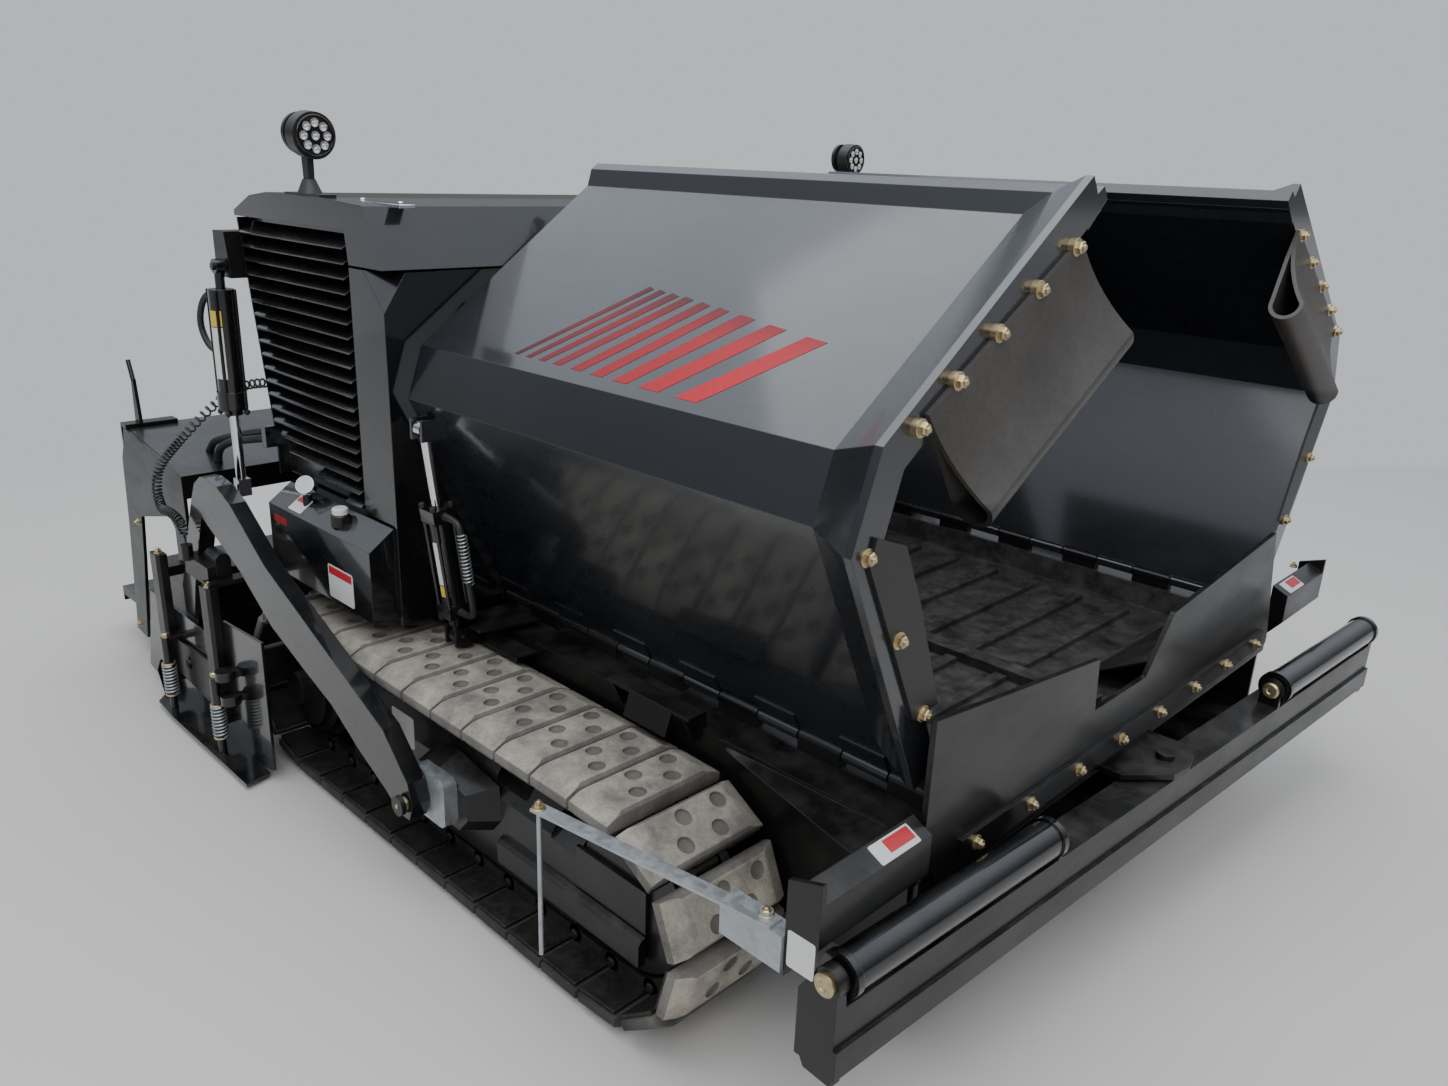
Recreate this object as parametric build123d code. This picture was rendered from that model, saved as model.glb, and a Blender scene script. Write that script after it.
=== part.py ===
from build123d import *
import math
import os

os.makedirs("parts", exist_ok=True)

# Small tracked asphalt paver. Millimetres, +X forward to the hopper, +Y to the machine's left,
# +Z up. The origin is on the ground, below the middle of the whole machine.
# Every paired piece is made once, on the left (+Y) side, and mirrored for the right.

# ---------------------------------------------------------------- common sizes
sheet = 6              # bent covers and housings
plate = 10             # frame and hopper plates
heavy_plate = 16       # brackets that carry a pin
fit_gap = 0.3          # pieces of one body that seat on a round face
pin_gap = 0.05         # radial running clearance at a pin
move_gap = 6           # least room between pieces that move past each other

# ---------------------------------------------------------------- tracks
track_width = 305      # rubber shoe, across
track_inner_y = 875
shoe_count = 31
shoe_pitch = 124.5
shoe_gap = 7           # between neighbouring rubber pads
shoe_thick = 50        # steel plate and rubber pad
shoe_plate = 10
shoe_chamfer = 8
pad_slope = 42         # length of the bevel at each end of a pad
pad_drop = 20          # fall of that bevel
plate_set = 7          # plate's edge inside the pad's
pitch_radius = 190     # chain pins' distance from sprocket and idler axes
chain_out = 16         # chain rail outside its pitch line
chain_in = 22          # chain rail inside its pitch line
chain_spread = 45      # chain rail from the middle of the shoe
rail_width = 22
sprocket_x = -358
shoe_seat = 12         # shoe's inner face outside the pitch line
track_radius = pitch_radius + shoe_seat + shoe_thick
wheel_z = track_radius
wheel_base = (shoe_count * shoe_pitch - 2 * math.pi * pitch_radius) / 2
idler_x = sprocket_x + wheel_base
track_y = track_inner_y + track_width / 2
track_outer_y = track_inner_y + track_width
track_top = 2 * track_radius
wheel_radius = math.sqrt(pitch_radius ** 2 - (shoe_pitch / 2) ** 2) - chain_in - fit_gap
carrier_x = (sprocket_x + 450, idler_x - 420)

final_drive = ((136, 22), (112, 46), (46, 74))   # steps of (radius, reach outside the chain)
roller_radius = 52
roller_count = 5
carrier_radius = 30
roller_width = 60
roller_frame_half = 66     # half width of the roller frame
roller_frame_low = wheel_z - 77
roller_frame_high = wheel_z + pitch_radius - 67
frame_shoulder = wheel_z + 33       # top of the frame's upright side, below its sloped top
frame_slope_in = 62        # width of that slope
cover_x = 720              # front of the high part of the frame
cover_high = wheel_z + 48
cover_front = idler_x + 53     # front end of the frame's outer side plate
guard_out = 18             # rock guard outside the frame's side
window_x = (486, 612)      # window in the frame's side
window_z = (wheel_z + 56, wheel_z + 110)
window_round = 12

# ---------------------------------------------------------------- chassis
chassis_y = 860
chassis_low = 230
chassis_high = 545
chassis_rear = -600
chassis_front = 1478
ledge_inner_y = 735
bulkhead_front = 58

corner_high = 622
corner_drop = 42           # fall of the corner box's top towards its front
corner_front = 1522
corner_cut_z = 500
corner_rear = 1478          # behind the wings' swing
corner_end_rear = 1452      # outer end plate, clear of the wings
guide_rear = 1312           # socket of the steering guide
guide_low = 420
guide_high = 490
guide_bolt_x = 1400
gusset_rear = 1010         # web from the chassis side to the corner box
gusset_out = 110
latch_x = (674, 938)       # stop bracket on the chassis side

# ---------------------------------------------------------------- hopper
hinge_y = 756
hinge_z = 574
hinge_tube = 15
hinge_rod = 9
wing_rear = 100
wing_front = 1466
wing_skin = 8
fold_low = (1025, 1129)
fold_high = (983, 1250)
wing_top = (463, 1628)
ring_depth = 62            # front ring outside the skin
ring_start = 1335
ring_plate = 16
ring_foot = 100            # ring's lower end, up the skin from the hinge
knuckle_count = 12
leaf_high = 58             # hinge leaf up the wing from the pin
leaf_thick = 4
knuckle_gap = 4
floor_high = 480
flap_thick = 9             # rubber sheets on the wings' front edges
flap_nose = 78             # reach of the folded loop in front of the wing
flap_rise = -4
apron_front = 1505
apron_thick = 12
slope_run = 190            # sloped plates behind the apron, along the floor

# ---------------------------------------------------------------- push bumper
bumper_pin = (1580, 0)
bumper_swing = 3.05
bumper_rear = 1545
bumper_front = 1628
bumper_low = 272
bumper_high = 405
push_axis_x = 1605
push_axis_z = 450
push_radius = 38
push_rim = 42
push_inner = 526
push_outer = 1140
push_shaft = 12
push_cheek = 12            # plates at both ends of a roller
push_side = 6              # room between roller and plate
bumper_half = push_outer + push_side + 2 * push_cheek
corner_y = bumper_half + 2     # outer end of the front cross beam
guide_bolt_y = 12 - corner_y

# ---------------------------------------------------------------- engine house
house_y = 1050
house_rear = -700
house_front = -90
house_low_rear = (-580, 900)
house_top = 1410
house_floor = 806
panel_set = 40             # end panel's frame inside the bulkhead's edge
louvre_count = 19
lid_high = 1553
crown_high = 1562
lid_hinge_x = house_rear - 24
lid_hinge_y = 520
lid_hinge_z = 1498
lamp_x = -300
lamp_y = 1030
lamp_rise = 141            # lamp's middle above the lid's crown
lamp_z = crown_high + lamp_rise
lamp_radius = 54
lamp_depth = 46            # front of the lamp from the middle of its foot

# ---------------------------------------------------------------- tanks
tank_y = 1122
tank_low = 566
tank_shoulder = 752
tank_high = 800
tank_rear = -500
tank_front = 46

# ---------------------------------------------------------------- screed group
tow_x = 347
tow_z = 247
tow_pin = 15
tow_plate_y = 1152         # outer face of the black tow bracket
tow_bevel = 26
arm_inner_y = 1190
arm_thick = 45
screed_rear = -1240
screed_front = -860
screed_half = arm_inner_y
screed_low = 22
screed_high = 400
deck_rear = (-1358, 812)   # x and height of the deck's rear edge
deck_front = (-911, 746)
deck_thick = 10
leg_foot = (-1500, -1410, 66)   # rear leg of the side plate: rear x, front x and height
window_corners = ((-1334, 371), (-1303, 527), (-1048, 590), (-1012, 560))
gate_y = arm_inner_y + arm_thick + 8
gate_thick = 8
gate_ski = 82              # ski's reach outside the gate
step_rear = -1707.5
gate_post_x = (-985, -615)
gate_post_half = 28
gate_post_low = 90
gate_post_high = 505
jack_x = (-915, -555)
jack_y = gate_y + 57
jack_radius = 14
spring_radius = 18
auger_x = -735
auger_end = 1045
auger_pin = 12
auger_z = 270
auger_radius = 105
flight_start = 120
flight_end = 1018
flight_turns = 4
flight_facets = 10         # flat facets in one turn of the flight
flight_thick = 8

# lift cylinders
lift_x = -700
lift_y = 1110
lift_top_z = 1363
lift_eye_z = 742
lift_barrel_length = 390
lift_barrel_radius = 34
lift_rod_radius = 14
lift_port = 14             # hose port's length outside the barrel
lift_port_drops = (78, 240)

# curly control cable, right side: (x, outwards, z) from the house's gland to the motor's socket
pair_radius = 11.5          # pair of hoses from the house to the screed's deck, on the right
pair_upper = ((-600, 1050, 922), (-685, 1050, 903), (-770, 1050, 882), (-850, 1050, 860), (-925, 1050, 841),
              (-985, 1050, 822), (-1036, 1050, 803), (-1060, 1050, 778))
pair_lower = ((-600, 1068, 904), (-680, 1068, 886), (-757, 1067, 867), (-828, 1066, 851), (-884, 1066, 833),
              (-932, 1066, 812), (-962, 1066, 786), (-966, 1066, 766))
cord_radius = 15
cord_route = ((-632, 1020, 1046), (-740, 1032, 1038), (-850, 1085, 978), (-960, 1176, 842), (-1012, 1238, 745),
              (-940, 1258, 650), (-850, 1262, 668), (-760, 1260, 648), (-760, 1260, 590))

# wing cylinders
wingcyl_x = 170
wingcyl_low = (962, track_top + 31)
wingcyl_high = (1030, 1070)
wingcyl_barrel = 345
wingcyl_radius = 30
wingcyl_rod = 12
cap_depth = 34
tie_half = 24              # tie rods from the cylinder's axis
eye_radius = 20
eye_half = 13


# ---------------------------------------------------------------- helpers
def block(x, y, z):
    """Box between three (low, high) pairs."""
    size = Box(x[1] - x[0], y[1] - y[0], z[1] - z[0])
    return Pos((x[0] + x[1]) / 2, (y[0] + y[1]) / 2, (z[0] + z[1]) / 2) * size


def side_plate(outline, low, high):
    """Outline of (x, z) points, filled from y = low to y = high."""
    edge = Polyline(*[(x, low, z) for x, z in outline], close=True)
    return extrude(make_face(edge), amount=high - low, dir=(0, 1, 0))


def cross_plate(outline, low, high):
    """Outline of (y, z) points, filled from x = low to x = high."""
    edge = Polyline(*[(low, y, z) for y, z in outline], close=True)
    return extrude(make_face(edge), amount=high - low, dir=(1, 0, 0))


def flat_plate(outline, low, high):
    """Outline of (x, y) points, filled from z = low to z = high."""
    edge = Polyline(*[(x, y, low) for x, y in outline], close=True)
    return extrude(make_face(edge), amount=high - low, dir=(0, 0, 1))


def round_bar(start, end, radius):
    run = Vector(*end) - Vector(*start)
    return Solid.make_cylinder(radius, run.length, Plane(origin=start, z_dir=run))


def round_tube(start, end, radius, bore):
    return round_bar(start, end, radius) - round_bar(start, end, bore)


def join(*shapes):
    whole = Part() + [piece for shape in shapes for piece in shape.solids()]
    return whole


def other_side(shape):
    return shape.mirror(Plane.XZ)


def both(shape):
    return [shape, other_side(shape)]


def thick_line(points, depth):
    """Closed outline of a bent sheet: the points, then the same line moved to its left by depth."""
    normals = []
    for (ax, ay), (bx, by) in zip(points, points[1:]):
        size = math.hypot(bx - ax, by - ay)
        normals.append((-(by - ay) / size, (bx - ax) / size))
    moved = []
    for index, (px, py) in enumerate(points):
        before = normals[max(index - 1, 0)]
        after = normals[min(index, len(normals) - 1)]
        mid = (before[0] + after[0], before[1] + after[1])
        scale = 2 * depth / (mid[0] ** 2 + mid[1] ** 2)
        moved.append((px + mid[0] * scale, py + mid[1] * scale))
    return list(points) + moved[::-1]


def save(node, *shapes):
    solids = [solid for shape in shapes for solid in shape.solids()]
    export_step(solids[0] if len(solids) == 1 else Compound(solids), f"parts/{node}.step")


# ---------------------------------------------------------------- tracks
def track_point(distance):
    """Place of a chain pin, (x, z), at a distance along the chain line from above the sprocket."""
    arc = math.pi * pitch_radius
    distance = distance % (2 * wheel_base + 2 * arc)
    if distance < wheel_base:
        return sprocket_x + distance, wheel_z + pitch_radius
    if distance < wheel_base + arc:
        turn = math.pi / 2 - (distance - wheel_base) / pitch_radius
        return idler_x + pitch_radius * math.cos(turn), wheel_z + pitch_radius * math.sin(turn)
    distance -= wheel_base + arc
    if distance < wheel_base:
        return idler_x - distance, wheel_z - pitch_radius
    turn = -math.pi / 2 - (distance - wheel_base) / pitch_radius
    return sprocket_x + pitch_radius * math.cos(turn), wheel_z + pitch_radius * math.sin(turn)


def track_shoe():
    """Rubber pad on its steel plate, lying flat on the top run with the chain line at z = 0."""
    half = (shoe_pitch - shoe_gap) / 2
    low = shoe_seat + shoe_plate
    high = shoe_seat + shoe_thick
    along = [(-half, low), (half, low), (half, high - shoe_chamfer), (half - shoe_chamfer, high),
             (shoe_chamfer - half, high), (-half, high - shoe_chamfer)]
    across = [(track_inner_y, low), (track_outer_y, low), (track_outer_y, high - pad_drop),
              (track_outer_y - pad_slope, high), (track_inner_y + pad_slope, high),
              (track_inner_y, high - pad_drop)]
    pad = side_plate(along, track_inner_y, track_outer_y) & cross_plate(across, -half, half)
    plate_box = block((plate_set - half, half - plate_set),
                      (track_inner_y + plate_set, track_outer_y - plate_set), (shoe_seat, low))
    return pad + plate_box


def chain_loop(offset):
    """Outline through the chain pins, moved outwards by offset."""
    pins = [track_point(index * shoe_pitch) for index in range(shoe_count)]
    line = thick_line(pins + pins[:2], offset)
    moved = line[len(pins) + 2:][::-1]
    return moved[1:-1]


def chain_rail(low, high):
    """Links of one side of the chain, fused, from pin to pin."""
    return (side_plate(chain_loop(chain_out), low, high)
            - side_plate(chain_loop(-chain_in), low - 1, high + 1))


def track():
    shoe = track_shoe()
    pieces = []
    for index in range(shoe_count):
        start = track_point(index * shoe_pitch)
        end = track_point((index + 1) * shoe_pitch)
        slope = math.degrees(math.atan2(end[1] - start[1], end[0] - start[0]))
        middle = ((start[0] + end[0]) / 2, (start[1] + end[1]) / 2)
        pieces.append(Pos(middle[0], 0, middle[1]) * Rot(0, -slope, 0) * shoe)
    rails = [chain_rail(track_y + sign * chain_spread - rail_width / 2, track_y + sign * chain_spread + rail_width / 2)
             for sign in (-1, 1)]
    return join(*rails, *pieces)


def wheel_table():
    """Rows of x, z, radius, inner y and outer y for every wheel inside one track."""
    inner = track_y - chain_spread - rail_width / 2
    outer = track_y + chain_spread + rail_width / 2
    low_z = wheel_z - pitch_radius + chain_in + fit_gap + roller_radius
    high_z = wheel_z + pitch_radius - chain_in - fit_gap - carrier_radius
    rows = [(sprocket_x, wheel_z, wheel_radius, inner, outer),
            (idler_x, wheel_z, wheel_radius, inner, outer)]
    first = sprocket_x + 260
    step = (idler_x - 230 - first) / (roller_count - 1)
    for index in range(roller_count):
        rows.append((first + index * step, low_z, roller_radius, inner, outer))
    for x in carrier_x:
        rows.append((x, high_z, carrier_radius, inner, outer))
    return rows


def wheel(x, z, radius, inner, outer):
    return round_bar((x, inner, z), (x, outer, z), radius)


def running_wheels():
    """Sprocket with its stepped final drive, idler and rollers of one track, seated on the chain rails."""
    rows = wheel_table()
    wheels = [wheel(*row) for row in rows]
    outer = rows[0][4]
    drive = [round_bar((sprocket_x, outer - 1, wheel_z), (sprocket_x, outer + reach, wheel_z), radius)
             for radius, reach in final_drive]
    wheels[0] = join(wheels[0], *drive)
    return wheels


def frame_beam(rear, front):
    """Box beam with a sloped outer shoulder; its front part is lower."""
    inner = track_y - roller_frame_half
    outer = track_y + roller_frame_half
    tall = [(inner, roller_frame_low + 25), (outer, roller_frame_low + 25), (outer, frame_shoulder),
            (outer - frame_slope_in, roller_frame_high), (inner, roller_frame_high)]
    short = [(inner, roller_frame_low + 25), (outer, roller_frame_low + 25), (outer, cover_high - 25),
             (outer - 30, cover_high), (inner, cover_high)]
    window = block(window_x, (outer - frame_slope_in + 8, outer + 5), window_z)
    window = fillet(window.edges().filter_by(Axis.Y), window_round)
    return join(cross_plate(tall, rear, cover_x), cross_plate(short, cover_x - 1, front)) - window


def tow_bracket():
    """Bevelled block that carries the tow pin, its zinc plate apart."""
    outer = track_y + roller_frame_half
    base = make_face(Polyline(*[(x, outer - 1, z) for x, z in tow_outline(0)], close=True))
    face = make_face(Polyline(*[(x, tow_plate_y, z) for x, z in tow_outline(tow_bevel)], close=True))
    return loft([base, face], ruled=True)


def tow_outline(inset):
    """Outline of the tow block, (x, z), moved inwards by inset at its front and top."""
    return [(tow_x - 70, tow_z - 60), (tow_x + 150 - 2 * inset, tow_z - 60), (tow_x + 185 - 2 * inset, tow_z - 20),
            (tow_x + 180 - 2 * inset, tow_z + 70 - inset), (tow_x + 20, tow_z + 95 - inset),
            (tow_x - 70, tow_z + 80 - inset)]


def tow_block():
    """Zinc plate between the tow bracket and the arm, round the tow pin."""
    corner = 22
    plate_box = block((tow_x - 42, tow_x + 96), (tow_plate_y, arm_inner_y - 3), (tow_z - 48, tow_z + 74))
    plate_box = fillet(plate_box.edges().filter_by(Axis.Y), corner)
    pin = round_bar((tow_x, tow_plate_y - 1, tow_z), (tow_x, arm_inner_y, tow_z), tow_pin)
    return plate_box - pin


def roller_frame():
    """Box beam between the wheels, with guards over the rollers, arms to the chassis and the tow bracket."""
    rear = sprocket_x + wheel_radius + 33
    front = idler_x - wheel_radius - 12
    inner = track_y - roller_frame_half
    outer = track_y + roller_frame_half
    guard_low = roller_frame_low - 75
    yoke_in = chain_spread + rail_width / 2 + fit_gap
    spans = [tuple(sorted((track_y + sign * yoke_in, track_y + sign * roller_frame_half))) for sign in (-1, 1)]
    guards = [block((rear, front), span, (guard_low, roller_frame_low + 30)) for span in spans]
    yoke = [block((front - 1, idler_x + 40), span, (wheel_z - 35, wheel_z + 35)) for span in spans]
    cover = block((front - 1, cover_front), spans[1], (roller_frame_low + 25, cover_high))
    skirt = cross_plate([(outer - 1, guard_low + 30), (outer + guard_out, guard_low + 30),
                         (outer + guard_out, guard_low + 82), (outer + guard_out - 7, guard_low + 90),
                         (outer - 1, guard_low + 96)], tow_x + 190, cover_front)
    motor = block((sprocket_x - 60, rear + 1), (inner - 2, inner + 6), (wheel_z - 70, wheel_z + 70))
    arms = [block((x, x + 110), (chassis_y, inner + 1), (roller_frame_low + 70, cover_high))
            for x in (-60, 560)]
    posts = [block((x - 15, x + 15), (inner, inner + 8), (roller_frame_high - 1, wheel_table()[-1][1] + 10))
             for x in carrier_x]
    pin = round_bar((tow_x, outer, tow_z), (tow_x, arm_inner_y + arm_thick + 8, tow_z), tow_pin)
    head = round_bar((tow_x, arm_inner_y + arm_thick + 6, tow_z),
                     (tow_x, arm_inner_y + arm_thick + 18, tow_z), tow_pin + 9)
    frame = join(frame_beam(rear, front), *guards, *yoke, cover, skirt, motor, *arms, *posts, tow_bracket(), pin, head)
    for x, z, radius, low, high in wheel_table():
        frame -= wheel(x, z, radius + fit_gap, low - fit_gap, high + fit_gap)
    return frame


# ---------------------------------------------------------------- chassis
def corner_box():
    """Left end of the front cross beam, its end plate standing proud of the sloping top."""
    low = bumper_high + move_gap
    foot = [(corner_end_rear + 2, low), (corner_front, corner_cut_z)]
    box_top = [(corner_front, corner_high - corner_drop), (corner_rear, corner_high - corner_drop / 2)]
    box = side_plate([(corner_rear, low + 33), foot[1], *box_top], chassis_y + plate, corner_y)
    end = side_plate([(corner_end_rear, low), *foot, (corner_front, corner_high), (corner_end_rear, corner_high - 24)],
                     corner_y - plate, corner_y)
    rear = side_plate([(corner_end_rear, low), foot[0], (corner_rear + 1, low + 34), (corner_rear + 1, guide_high + 30),
                       (corner_end_rear, guide_high + 30)], corner_y - 90, corner_y)
    root = make_face(Polyline(*[(gusset_rear, y, z) for y, z in
                                [(chassis_y - 1, chassis_high - 18), (chassis_y + 4, chassis_high - 18),
                                 (chassis_y - 1, chassis_high - 10)]], close=True))
    tip = make_face(Polyline(*[(corner_rear + 1, y, z) for y, z in
                               [(chassis_y - 1, chassis_high - 45), (chassis_y + gusset_out, chassis_high - 20),
                                (chassis_y - 1, chassis_high - 2)]], close=True))
    return join(box, end, rear, loft([root, tip], ruled=True))


def cylinder_seat():
    """Shelf and ears that carry the wing cylinder, with the step plate beside them."""
    out, up = wingcyl_low
    shelf = block((wingcyl_x - 40, wingcyl_x + 190), (chassis_y - 2, out - 40), (track_top + 10, track_top + 20))
    ears = [block((x, x + 8), (out - 60, out + 22), (track_top + 10, up + 22))
            for x in (wingcyl_x - eye_half - 5 - 8, wingcyl_x + eye_half + 5)]
    pin = round_bar((wingcyl_x - eye_half - 20, *wingcyl_low), (wingcyl_x + eye_half + 20, *wingcyl_low), 10)
    beside = wingcyl_x + wingcyl_radius + 12
    step = flat_plate([(beside, hinge_y + 44), (beside + 82, hinge_y + 44), (beside + 46, out - 6), (beside, out - 6)],
                      chassis_high + 20, chassis_high + 28)
    web = block((beside + 20, beside + 30), (hinge_y + 44, chassis_y), (chassis_high - 1, chassis_high + 21))
    return join(shelf, *ears, pin, web, step)


def wing_stop():
    """Hooked bracket on the chassis side, below the hinge."""
    rear, front = latch_x
    bar = block((rear, front), (chassis_y - 1, chassis_y + 42), (chassis_high + 30, chassis_high + 38))
    bar = bar + block((rear, front), (chassis_y - plate, chassis_y), (chassis_high - 1, chassis_high + 38))
    flap = cross_plate([(chassis_y + 36, chassis_high + 34), (chassis_y + 42, chassis_high + 38),
                        (chassis_y + 62, chassis_high - 18), (chassis_y + 54, chassis_high - 18)],
                       rear + 80, front - 50)
    ends = [cross_plate([(chassis_y - 1, chassis_high - 30), (chassis_y + 10, chassis_high - 30),
                         (chassis_y + 42, chassis_high + 31), (chassis_y - 1, chassis_high + 31)], x, x + 8)
            for x in (rear + 12, front - 20)]
    return join(bar, flap, *ends)


def chassis_frame():
    side = side_plate([(chassis_rear, chassis_low), (chassis_front, chassis_low),
                       (chassis_front, chassis_high), (chassis_rear, chassis_high)],
                      chassis_y - plate, chassis_y)
    ledge = block((wing_rear - 8, chassis_front), (ledge_inner_y, chassis_y),
                  (chassis_high - plate, chassis_high))
    knee = block((chassis_front - 60, apron_front - apron_thick - 8), (chassis_y - plate, chassis_y + plate + 1),
                 (bumper_high + move_gap + 34, chassis_high))
    half = join(side, ledge, corner_box(), knee, cylinder_seat(), wing_stop())
    walls = [block((x, x + plate), (-chassis_y + plate, chassis_y - plate), (chassis_low, floor_high - plate))
             for x in (chassis_rear, -120, 500, 1000)]
    pan = block((chassis_rear, chassis_front), (plate - chassis_y, chassis_y - plate),
                (chassis_low, chassis_low + plate))
    beam = block((chassis_front - 70, apron_front - apron_thick), (plate - chassis_y, chassis_y - plate),
                 (bumper_high + move_gap, floor_high - plate))
    reach = bumper_pin[0]
    tongue = flat_plate([(apron_front - apron_thick - 1, -150), (reach - 34, -150), (reach + 48, -60), (reach + 56, 0),
                         (reach + 42, 60), (reach + 6, 100), (apron_front - apron_thick - 1, 100)],
                        bumper_high + move_gap, bumper_high + move_gap + 14)
    pivot = round_bar((*bumper_pin, bumper_low + 30), (*bumper_pin, bumper_high + 35), 22)
    return join(half, other_side(half), *walls, pan, beam, tongue, pivot)


def hopper_floor():
    deck = block((bulkhead_front, apron_front - apron_thick), (-ledge_inner_y, ledge_inner_y),
                 (floor_high - plate, floor_high))
    sides = [block((wing_rear - 8, chassis_front), (ledge_inner_y - 8, ledge_inner_y),
                   (floor_high - 1, chassis_high))]
    return join(deck, *sides, *[other_side(piece) for piece in sides])


def conveyor():
    """Two runs of drag slats with their divider, lying on the hopper floor."""
    slats = []
    for side in (-1, 1):
        for index in range(9):
            x = 130 + index * 145
            low, high = sorted((side * 32, side * 640))
            slats.append(block((x, x + 32), (low, high), (floor_high, floor_high + 14)))
    divider = block((wing_rear, 1400), (-26, 26), (floor_high, floor_high + 26))
    return [divider, *slats]


def hopper_back():
    outline = [(hinge_y - 40, floor_high), (hinge_y - 25, hinge_z + 10), (fold_low[0] - 60, fold_low[1]), (fold_high[0] - 60, fold_high[1] - 20),
               (820, 1330)]
    outline = outline + [(-y, z) for y, z in reversed(outline)]
    return cross_plate(outline, bulkhead_front, wing_rear - 10)


def front_apron():
    """Flashing across the hopper's mouth, with its low middle cut, sloped inner plates and the strip below."""
    outline = [(-865, 470), (-867, 793), (-260, 724), (-245, 600), (0, 600), (108, 730), (715, 796),
               (815, 470)]
    back = apron_front - apron_thick
    board = cross_plate(outline, back, apron_front)
    strip = block((apron_front, apron_front + 8), (-750, 750), (455, 508))
    lip = block((back, apron_front), (-815, 815), (448, 471))
    slope = [(back + 1, floor_high + 128), (back - slope_run, floor_high + 20), (back - slope_run, floor_high + 14),
             (back + 1, floor_high + 120)]
    slopes = [side_plate(slope, *span) for span in ((-690, -250), (120, 690))]
    return join(board, strip, lip, *slopes)


# ---------------------------------------------------------------- wings
def knuckle_spans():
    """Low and high x of each hinge knuckle; the even ones are the wing's, the odd ones the ledge's."""
    step = (wing_front - wing_rear) / knuckle_count
    return [(wing_rear + index * step, wing_rear + (index + 1) * step - knuckle_gap)
            for index in range(knuckle_count)]


def wing():
    points = [(hinge_y, hinge_z), fold_low, fold_high, wing_top]
    skin = cross_plate(thick_line(points, wing_skin), wing_rear, wing_front)
    cap_line = [(wing_top[0] - 22, wing_top[1] + 12), (wing_top[0] - 6, wing_top[1] + 34), (wing_top[0] + 16, wing_top[1] + 20),
                (wing_top[0] + 34, wing_top[1] - 40), (wing_top[0] + 4, wing_top[1] - 12)]
    cap = cross_plate(cap_line, wing_rear, wing_front)
    share = ring_foot / math.hypot(fold_low[0] - hinge_y, fold_low[1] - hinge_z)
    low_end = (hinge_y + share * (fold_low[0] - hinge_y), hinge_z + share * (fold_low[1] - hinge_z))
    outline = [low_end, *points[1:]]
    band = cross_plate(thick_line(outline, -ring_depth), wing_front - ring_plate, wing_front)
    start = make_face(Polyline(*[(ring_start, y, z) for y, z in thick_line(outline, -1)], close=True))
    end = make_face(Polyline(*[(wing_front - ring_plate, y, z) for y, z in thick_line(outline, -ring_depth)],
                             close=True))
    flare = loft([start, end], ruled=True)
    knuckles = [round_tube((low, hinge_y, hinge_z), (high, hinge_y, hinge_z), hinge_tube, hinge_rod + pin_gap)
                for low, high in knuckle_spans()[::2]]
    lug = [block((x, x + 8), (fold_low[0] - 60, wingcyl_high[0] + 20), (wingcyl_high[1] - 25, wingcyl_high[1] + 25))
           for x in (wingcyl_x - eye_half - 5 - 8, wingcyl_x + eye_half + 5)]
    inside = cross_plate(thick_line(points, 200), wing_rear, wing_front)
    lugs = [piece - inside for piece in lug]
    bore = round_bar((wing_rear - 1, hinge_y, hinge_z), (wing_front + 1, hinge_y, hinge_z), hinge_tube)
    shell = join(skin, cap, band, flare, *hinge_leaves()) - bore
    return join(shell, *knuckles, *lugs)


def hinge_leaves():
    """Flat leaves on the wing's outside, one from each of its knuckles."""
    share = leaf_high / math.hypot(fold_low[0] - hinge_y, fold_low[1] - hinge_z)
    top = (hinge_y + share * (fold_low[0] - hinge_y), hinge_z + share * (fold_low[1] - hinge_z))
    outline = thick_line([(hinge_y, hinge_z), top], -leaf_thick)
    return [cross_plate(outline, low, high) for low, high in knuckle_spans()[::2]]


def wing_hinge():
    """Hinge rod and the fixed knuckles on the ledge."""
    pieces = [round_bar((wing_rear, hinge_y, hinge_z), (wing_front, hinge_y, hinge_z), hinge_rod)]
    for low, high in knuckle_spans()[1::2]:
        tube = round_bar((low, hinge_y, hinge_z), (high, hinge_y, hinge_z), hinge_tube)
        foot = block((low, high), (hinge_y - 10, hinge_y + hinge_tube), (chassis_high, hinge_z))
        pieces += [tube, foot]
    return join(*pieces)


def upper_flap():
    """Rubber sheet folded into a drop-shaped loop along the wing's upper front edge."""
    start = Vector(0, 520, 1563)
    end = Vector(0, 930, 1313)
    along = (end - start).normalized()
    inward = Vector(0, along.Z, -along.Y)
    plane = Plane(origin=(wing_front + fit_gap, start.Y, start.Z), x_dir=inward, z_dir=along)
    outside = (Polyline((170, flap_rise), (60, 0), (-15, 0), (-15, -flap_thick))
               + ThreePointArc((-15, -flap_thick), (81, -30), (166, -flap_nose))
               + ThreePointArc((166, -flap_nose), (212, (flap_rise - flap_nose) / 2), (170, flap_rise)))
    section = make_face(outside)
    section = section - offset(section, amount=-flap_thick)
    return extrude(plane * section, amount=(end - start).length, dir=along)


def lower_flap():
    outline = [(1040, 1150), (1052, 1105), (890, 790), (820, 800), (905, 1010), (960, 1120)]
    return cross_plate(outline, wing_front + fit_gap, wing_front + 7)


# ---------------------------------------------------------------- push bumper
def swing(shape):
    """Turn a bumper piece from straight to the parked swivel."""
    return Pos(bumper_pin[0], 0, 0) * Rot(0, 0, -bumper_swing) * Pos(-bumper_pin[0], 0, 0) * shape


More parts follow.
